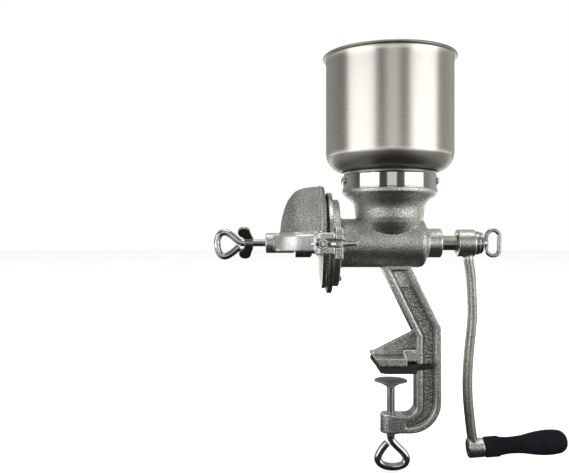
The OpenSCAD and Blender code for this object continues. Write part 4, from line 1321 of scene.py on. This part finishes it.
def stadium_ring(name: str, centre: Point, half_x: float, half_z: float, wall: float, thick: float) -> Piece:
    """A flat oval ring with rounded corners, standing in the XZ plane.

    Args:
        name: Name of the piece.
        centre: Its middle, in millimetres.
        half_x: Half its width.
        half_z: Half its height.
        wall: Width of the ring.
        thick: Its thickness.

    Returns:
        The ring.
    """
    x0, y0, z0 = centre

    def outline(radius: float) -> list[Point]:
        """Corners of the oval, half a circle above and half below."""
        return [(x0 + x, y0, z0 + way * (half_z - half_x) + z) for way, start in ((1, 0), (-1, 180))
                for x, z in swept((0, 0), radius, start, start + 180, 24)]

    ring = joined(name, *(traced(name, outline(radius), True) for radius in (half_x, half_x - wall)))
    with shaping(ring):
        bpy.ops.mesh.bridge_edge_loops()
        bpy.ops.mesh.select_all(action="SELECT")
        bpy.ops.transform.translate(value=(0, -thick / 2 * MM, 0))
        bpy.ops.mesh.extrude_region_move(TRANSFORM_OT_translate={"value": (0, thick * MM, 0)})
        seal()
    modified(ring, "BEVEL", width=1.3 * MM, segments=4, limit_method="ANGLE", angle_limit=math.radians(60))
    return smooth(ring, 40)


@dataclass
class Clamp(SubAssembly):
    """The clamp: a dished pad and the screw that drives it, bent into an eye."""

    x: float = 1.3
    top_z: float = -14.0
    pad_r: float = 16.5
    screw_z: float = -70.2
    screw_r: float = 4.3
    screw_l: float = 49.5
    eye_z: float = -72.5
    eye_l: float = 29.5
    eye_w: float = 30.2
    eye_sag: float = 1.7
    wire_r: float = 3.75

    def build(self) -> None:
        """Makes the pad and the screw."""
        self.pad()
        self.screw()

    def pad(self) -> None:
        """The pressed pad: a thin flat lip and a dished back."""
        top, r = self.top_z, self.pad_r
        back = flowing([(r - 0.3, top - 1.5), (12.0, top - 2.6), (8.2, top - 4.5), (5.6, top - 5.9),
                        (4.4, top - 6.6)], 4)
        profile = [(0, top), (r - 0.5, top), (r, top - 0.5), (r, top - 1.1)] + back
        profile += [(3.1, top - 6.6), (3.1, top - 1.6), (0, top - 1.6)]
        pad = turned("clamp_pad_pressing", profile, Axis.Z, (self.x, 0, 0))
        self.fit(pad, PRESSED_ZINC, "foot", Slot.PLATED, "clamp_pad")

    def screw(self) -> None:
        """The clamp screw: a threaded rod with a plain neck, bent into an eye below."""
        rod = threaded("clamp_thread", self.screw_r, 0.0, self.screw_l, 1.75, 0.7, 0.5)
        laid(rod, Axis.Z, (self.x, 0, self.screw_z))
        neck = turned("clamp_neck", [(0, -21.5), (3.0, -21.5), (3.0, -16.6), (2.4, -16.0), (0, -16.0)],
                      Axis.Z, (self.x, 0, 0), 32)
        start = self.eye_z + self.wire_r / 3
        path = [(self.x, start + 3.2), (self.x, start + 1.2)]
        path += [(self.x + aside, start - out) for out, aside in eye_line(self.eye_l, self.eye_w, self.eye_sag)]
        eye = bent_bar("clamp_eye", flowing(path, 8), self.wire_r, 0.9)
        self.fit(joined("clamp_screw_bar", rod, neck, eye), ZINC_ROD, "clamp", Slot.PLATED, "clamp_screw")


@dataclass(frozen=True)
class SoftBox:
    """A rectangular area light, with its place and size in metres and its power in watts."""

    name: str
    place: Point
    size: Pair
    power: float
    mirrored: bool = True


SOFT_BOXES = (SoftBox("softbox_left", (-1.55, -0.95, 0.42), (1.75, 1.06), 8.8),
              SoftBox("softbox_right", (1.45, -1.05, 0.42), (1.75, 1.06), 8.8),
              SoftBox("softbox_front", (-0.1, -2.3, 0.66), (0.95, 1.4), 2.7),
              SoftBox("softbox_top", (-0.1, -0.1, 1.7), (1.5, 1.0), 9.0),
              SoftBox("softbox_back", (0.0, 2.6, 1.5), (3.0, 1.2), 60.0, mirrored=False))
BLACK, WHITE = rgba((0.0, 0.0, 0.0)), rgba((1.0, 1.0, 1.0))


@dataclass
class Studio:
    """The plain pale floor, the soft lights and the camera at the photograph's place."""

    floor_z: float = -108.0
    eye: Point = (-104.9, -700.0, 129.0)
    lens: float = 44.3
    target: Point = (-0.02, 0.0, 0.13)

    def build(self) -> None:
        """Sets up the studio."""
        self.floor()
        self.world()
        self.lights()
        self.dark_card()
        self.camera()

    def floor(self) -> None:
        """A wide pale floor."""
        take()
        bpy.ops.mesh.primitive_plane_add(size=24.0, location=(0, 0, self.floor_z * MM))
        floor = bpy.context.active_object
        floor.name = "studio_floor"
        material, tree, place = new_material("pale_floor")
        tone = tree.ramp(tree.noise(place, scale_of(400.0), 2.0), 0.3, 0.7)
        colour = tree.mix(tone, rgba((0.90, 0.90, 0.89)), rgba((0.915, 0.915, 0.905)))
        tree.end_in(Base_Color=colour, Roughness=0.9, Specular_IOR_Level=0.0)
        floor.data.materials.append(material)

    def world(self) -> None:
        """A white background, an even fill, and for the metal a room that is dark in front and pale behind."""
        world = bpy.data.worlds.new("studio_room")
        bpy.context.scene.world = world
        world.use_nodes = True
        tree = Tree(world.node_tree)
        path = tree.add("ShaderNodeLightPath")
        x, y, z = tree.add("ShaderNodeSeparateXYZ", Vector=tree.add("ShaderNodeTexCoord")["Generated"])
        behind, above = tree.ramp(y, -0.15, 0.75, 0.06, 0.30), tree.ramp(z, 0.15, 0.95, 0.0, 0.22)
        room = tree.plus(tree.plus(behind, above), tree.ramp(x, 0.0, 1.0, 0.0, 0.14))
        room = tree.mix(room, BLACK, rgba((1.0, 1.0, 0.97)))
        fill = tree.mix(path["Is Diffuse Ray"], room, rgba((1.16, 1.16, 1.15)))
        seen = tree.mix(path["Is Camera Ray"], fill, WHITE)
        tree.add("ShaderNodeOutputWorld", Surface=tree.add("ShaderNodeBackground", Color=seen, Strength=1.0)[0])

    def lights(self) -> None:
        """Wide soft boxes left and right, a narrow one in front, one overhead and one over the rear floor."""
        for box in SOFT_BOXES:
            take()
            bpy.ops.object.light_add(type="AREA", location=box.place)
            lamp = bpy.context.active_object
            lamp.name = box.name
            lamp.data.shape = "RECTANGLE"
            lamp.data.size, lamp.data.size_y = box.size
            lamp.data.energy = box.power
            lamp.rotation_euler = (Vector(self.target) - Vector(box.place)).to_track_quat("-Z", "Y").to_euler()
            lamp.visible_camera = False
            lamp.visible_glossy = box.mirrored

    def dark_card(self) -> None:
        """A card under the mill, black in the middle, that only reflections show, as photographers lay it."""
        take()
        bpy.ops.mesh.primitive_plane_add(size=1.0, location=(0, -0.6, (self.floor_z + 2.0) * MM))
        card = bpy.context.active_object
        card.name = "dark_card"
        card.scale = (5.0, 3.2, 1.0)
        settle(card)
        material, tree, place = new_material("black_card")
        side = tree.maths("ABSOLUTE", tree.add("ShaderNodeSeparateXYZ", Vector=place)[0])
        tree.end_in(Base_Color=tree.mix(tree.ramp(side, 0.16, 0.55, 0.005, 0.26), BLACK, WHITE), Roughness=0.9)
        card.data.materials.append(material)
        card.visible_camera = card.visible_diffuse = card.visible_shadow = False

    def camera(self) -> None:
        """The camera at the photograph's place, looking level along +Y."""
        take()
        bpy.ops.object.camera_add(location=Vector(self.eye) * MM, rotation=(math.pi / 2, 0, 0))
        camera = bpy.context.active_object
        camera.name = "photo_camera"
        camera.data.lens = self.lens
        camera.data.sensor_width = 36.0
        camera.data.clip_start = 0.01
        camera.data.clip_end = 50.0
        bpy.context.scene.camera = camera
        bpy.context.scene.view_settings.view_transform = "Standard"
        bpy.context.scene.view_settings.look = "None"


def main() -> None:
    """Builds the studio and every sub-assembly."""
    logging.basicConfig(level=logging.INFO, format="%(name)s %(message)s")
    Studio().build()
    wardrobe = Wardrobe()
    for part in (Housing, Hopper, Cover, Grinder, Crank, Clamp):
        log.info("building %s", part.__name__)
        part(wardrobe).build()
    take()


if __name__ == "__main__":
    main()
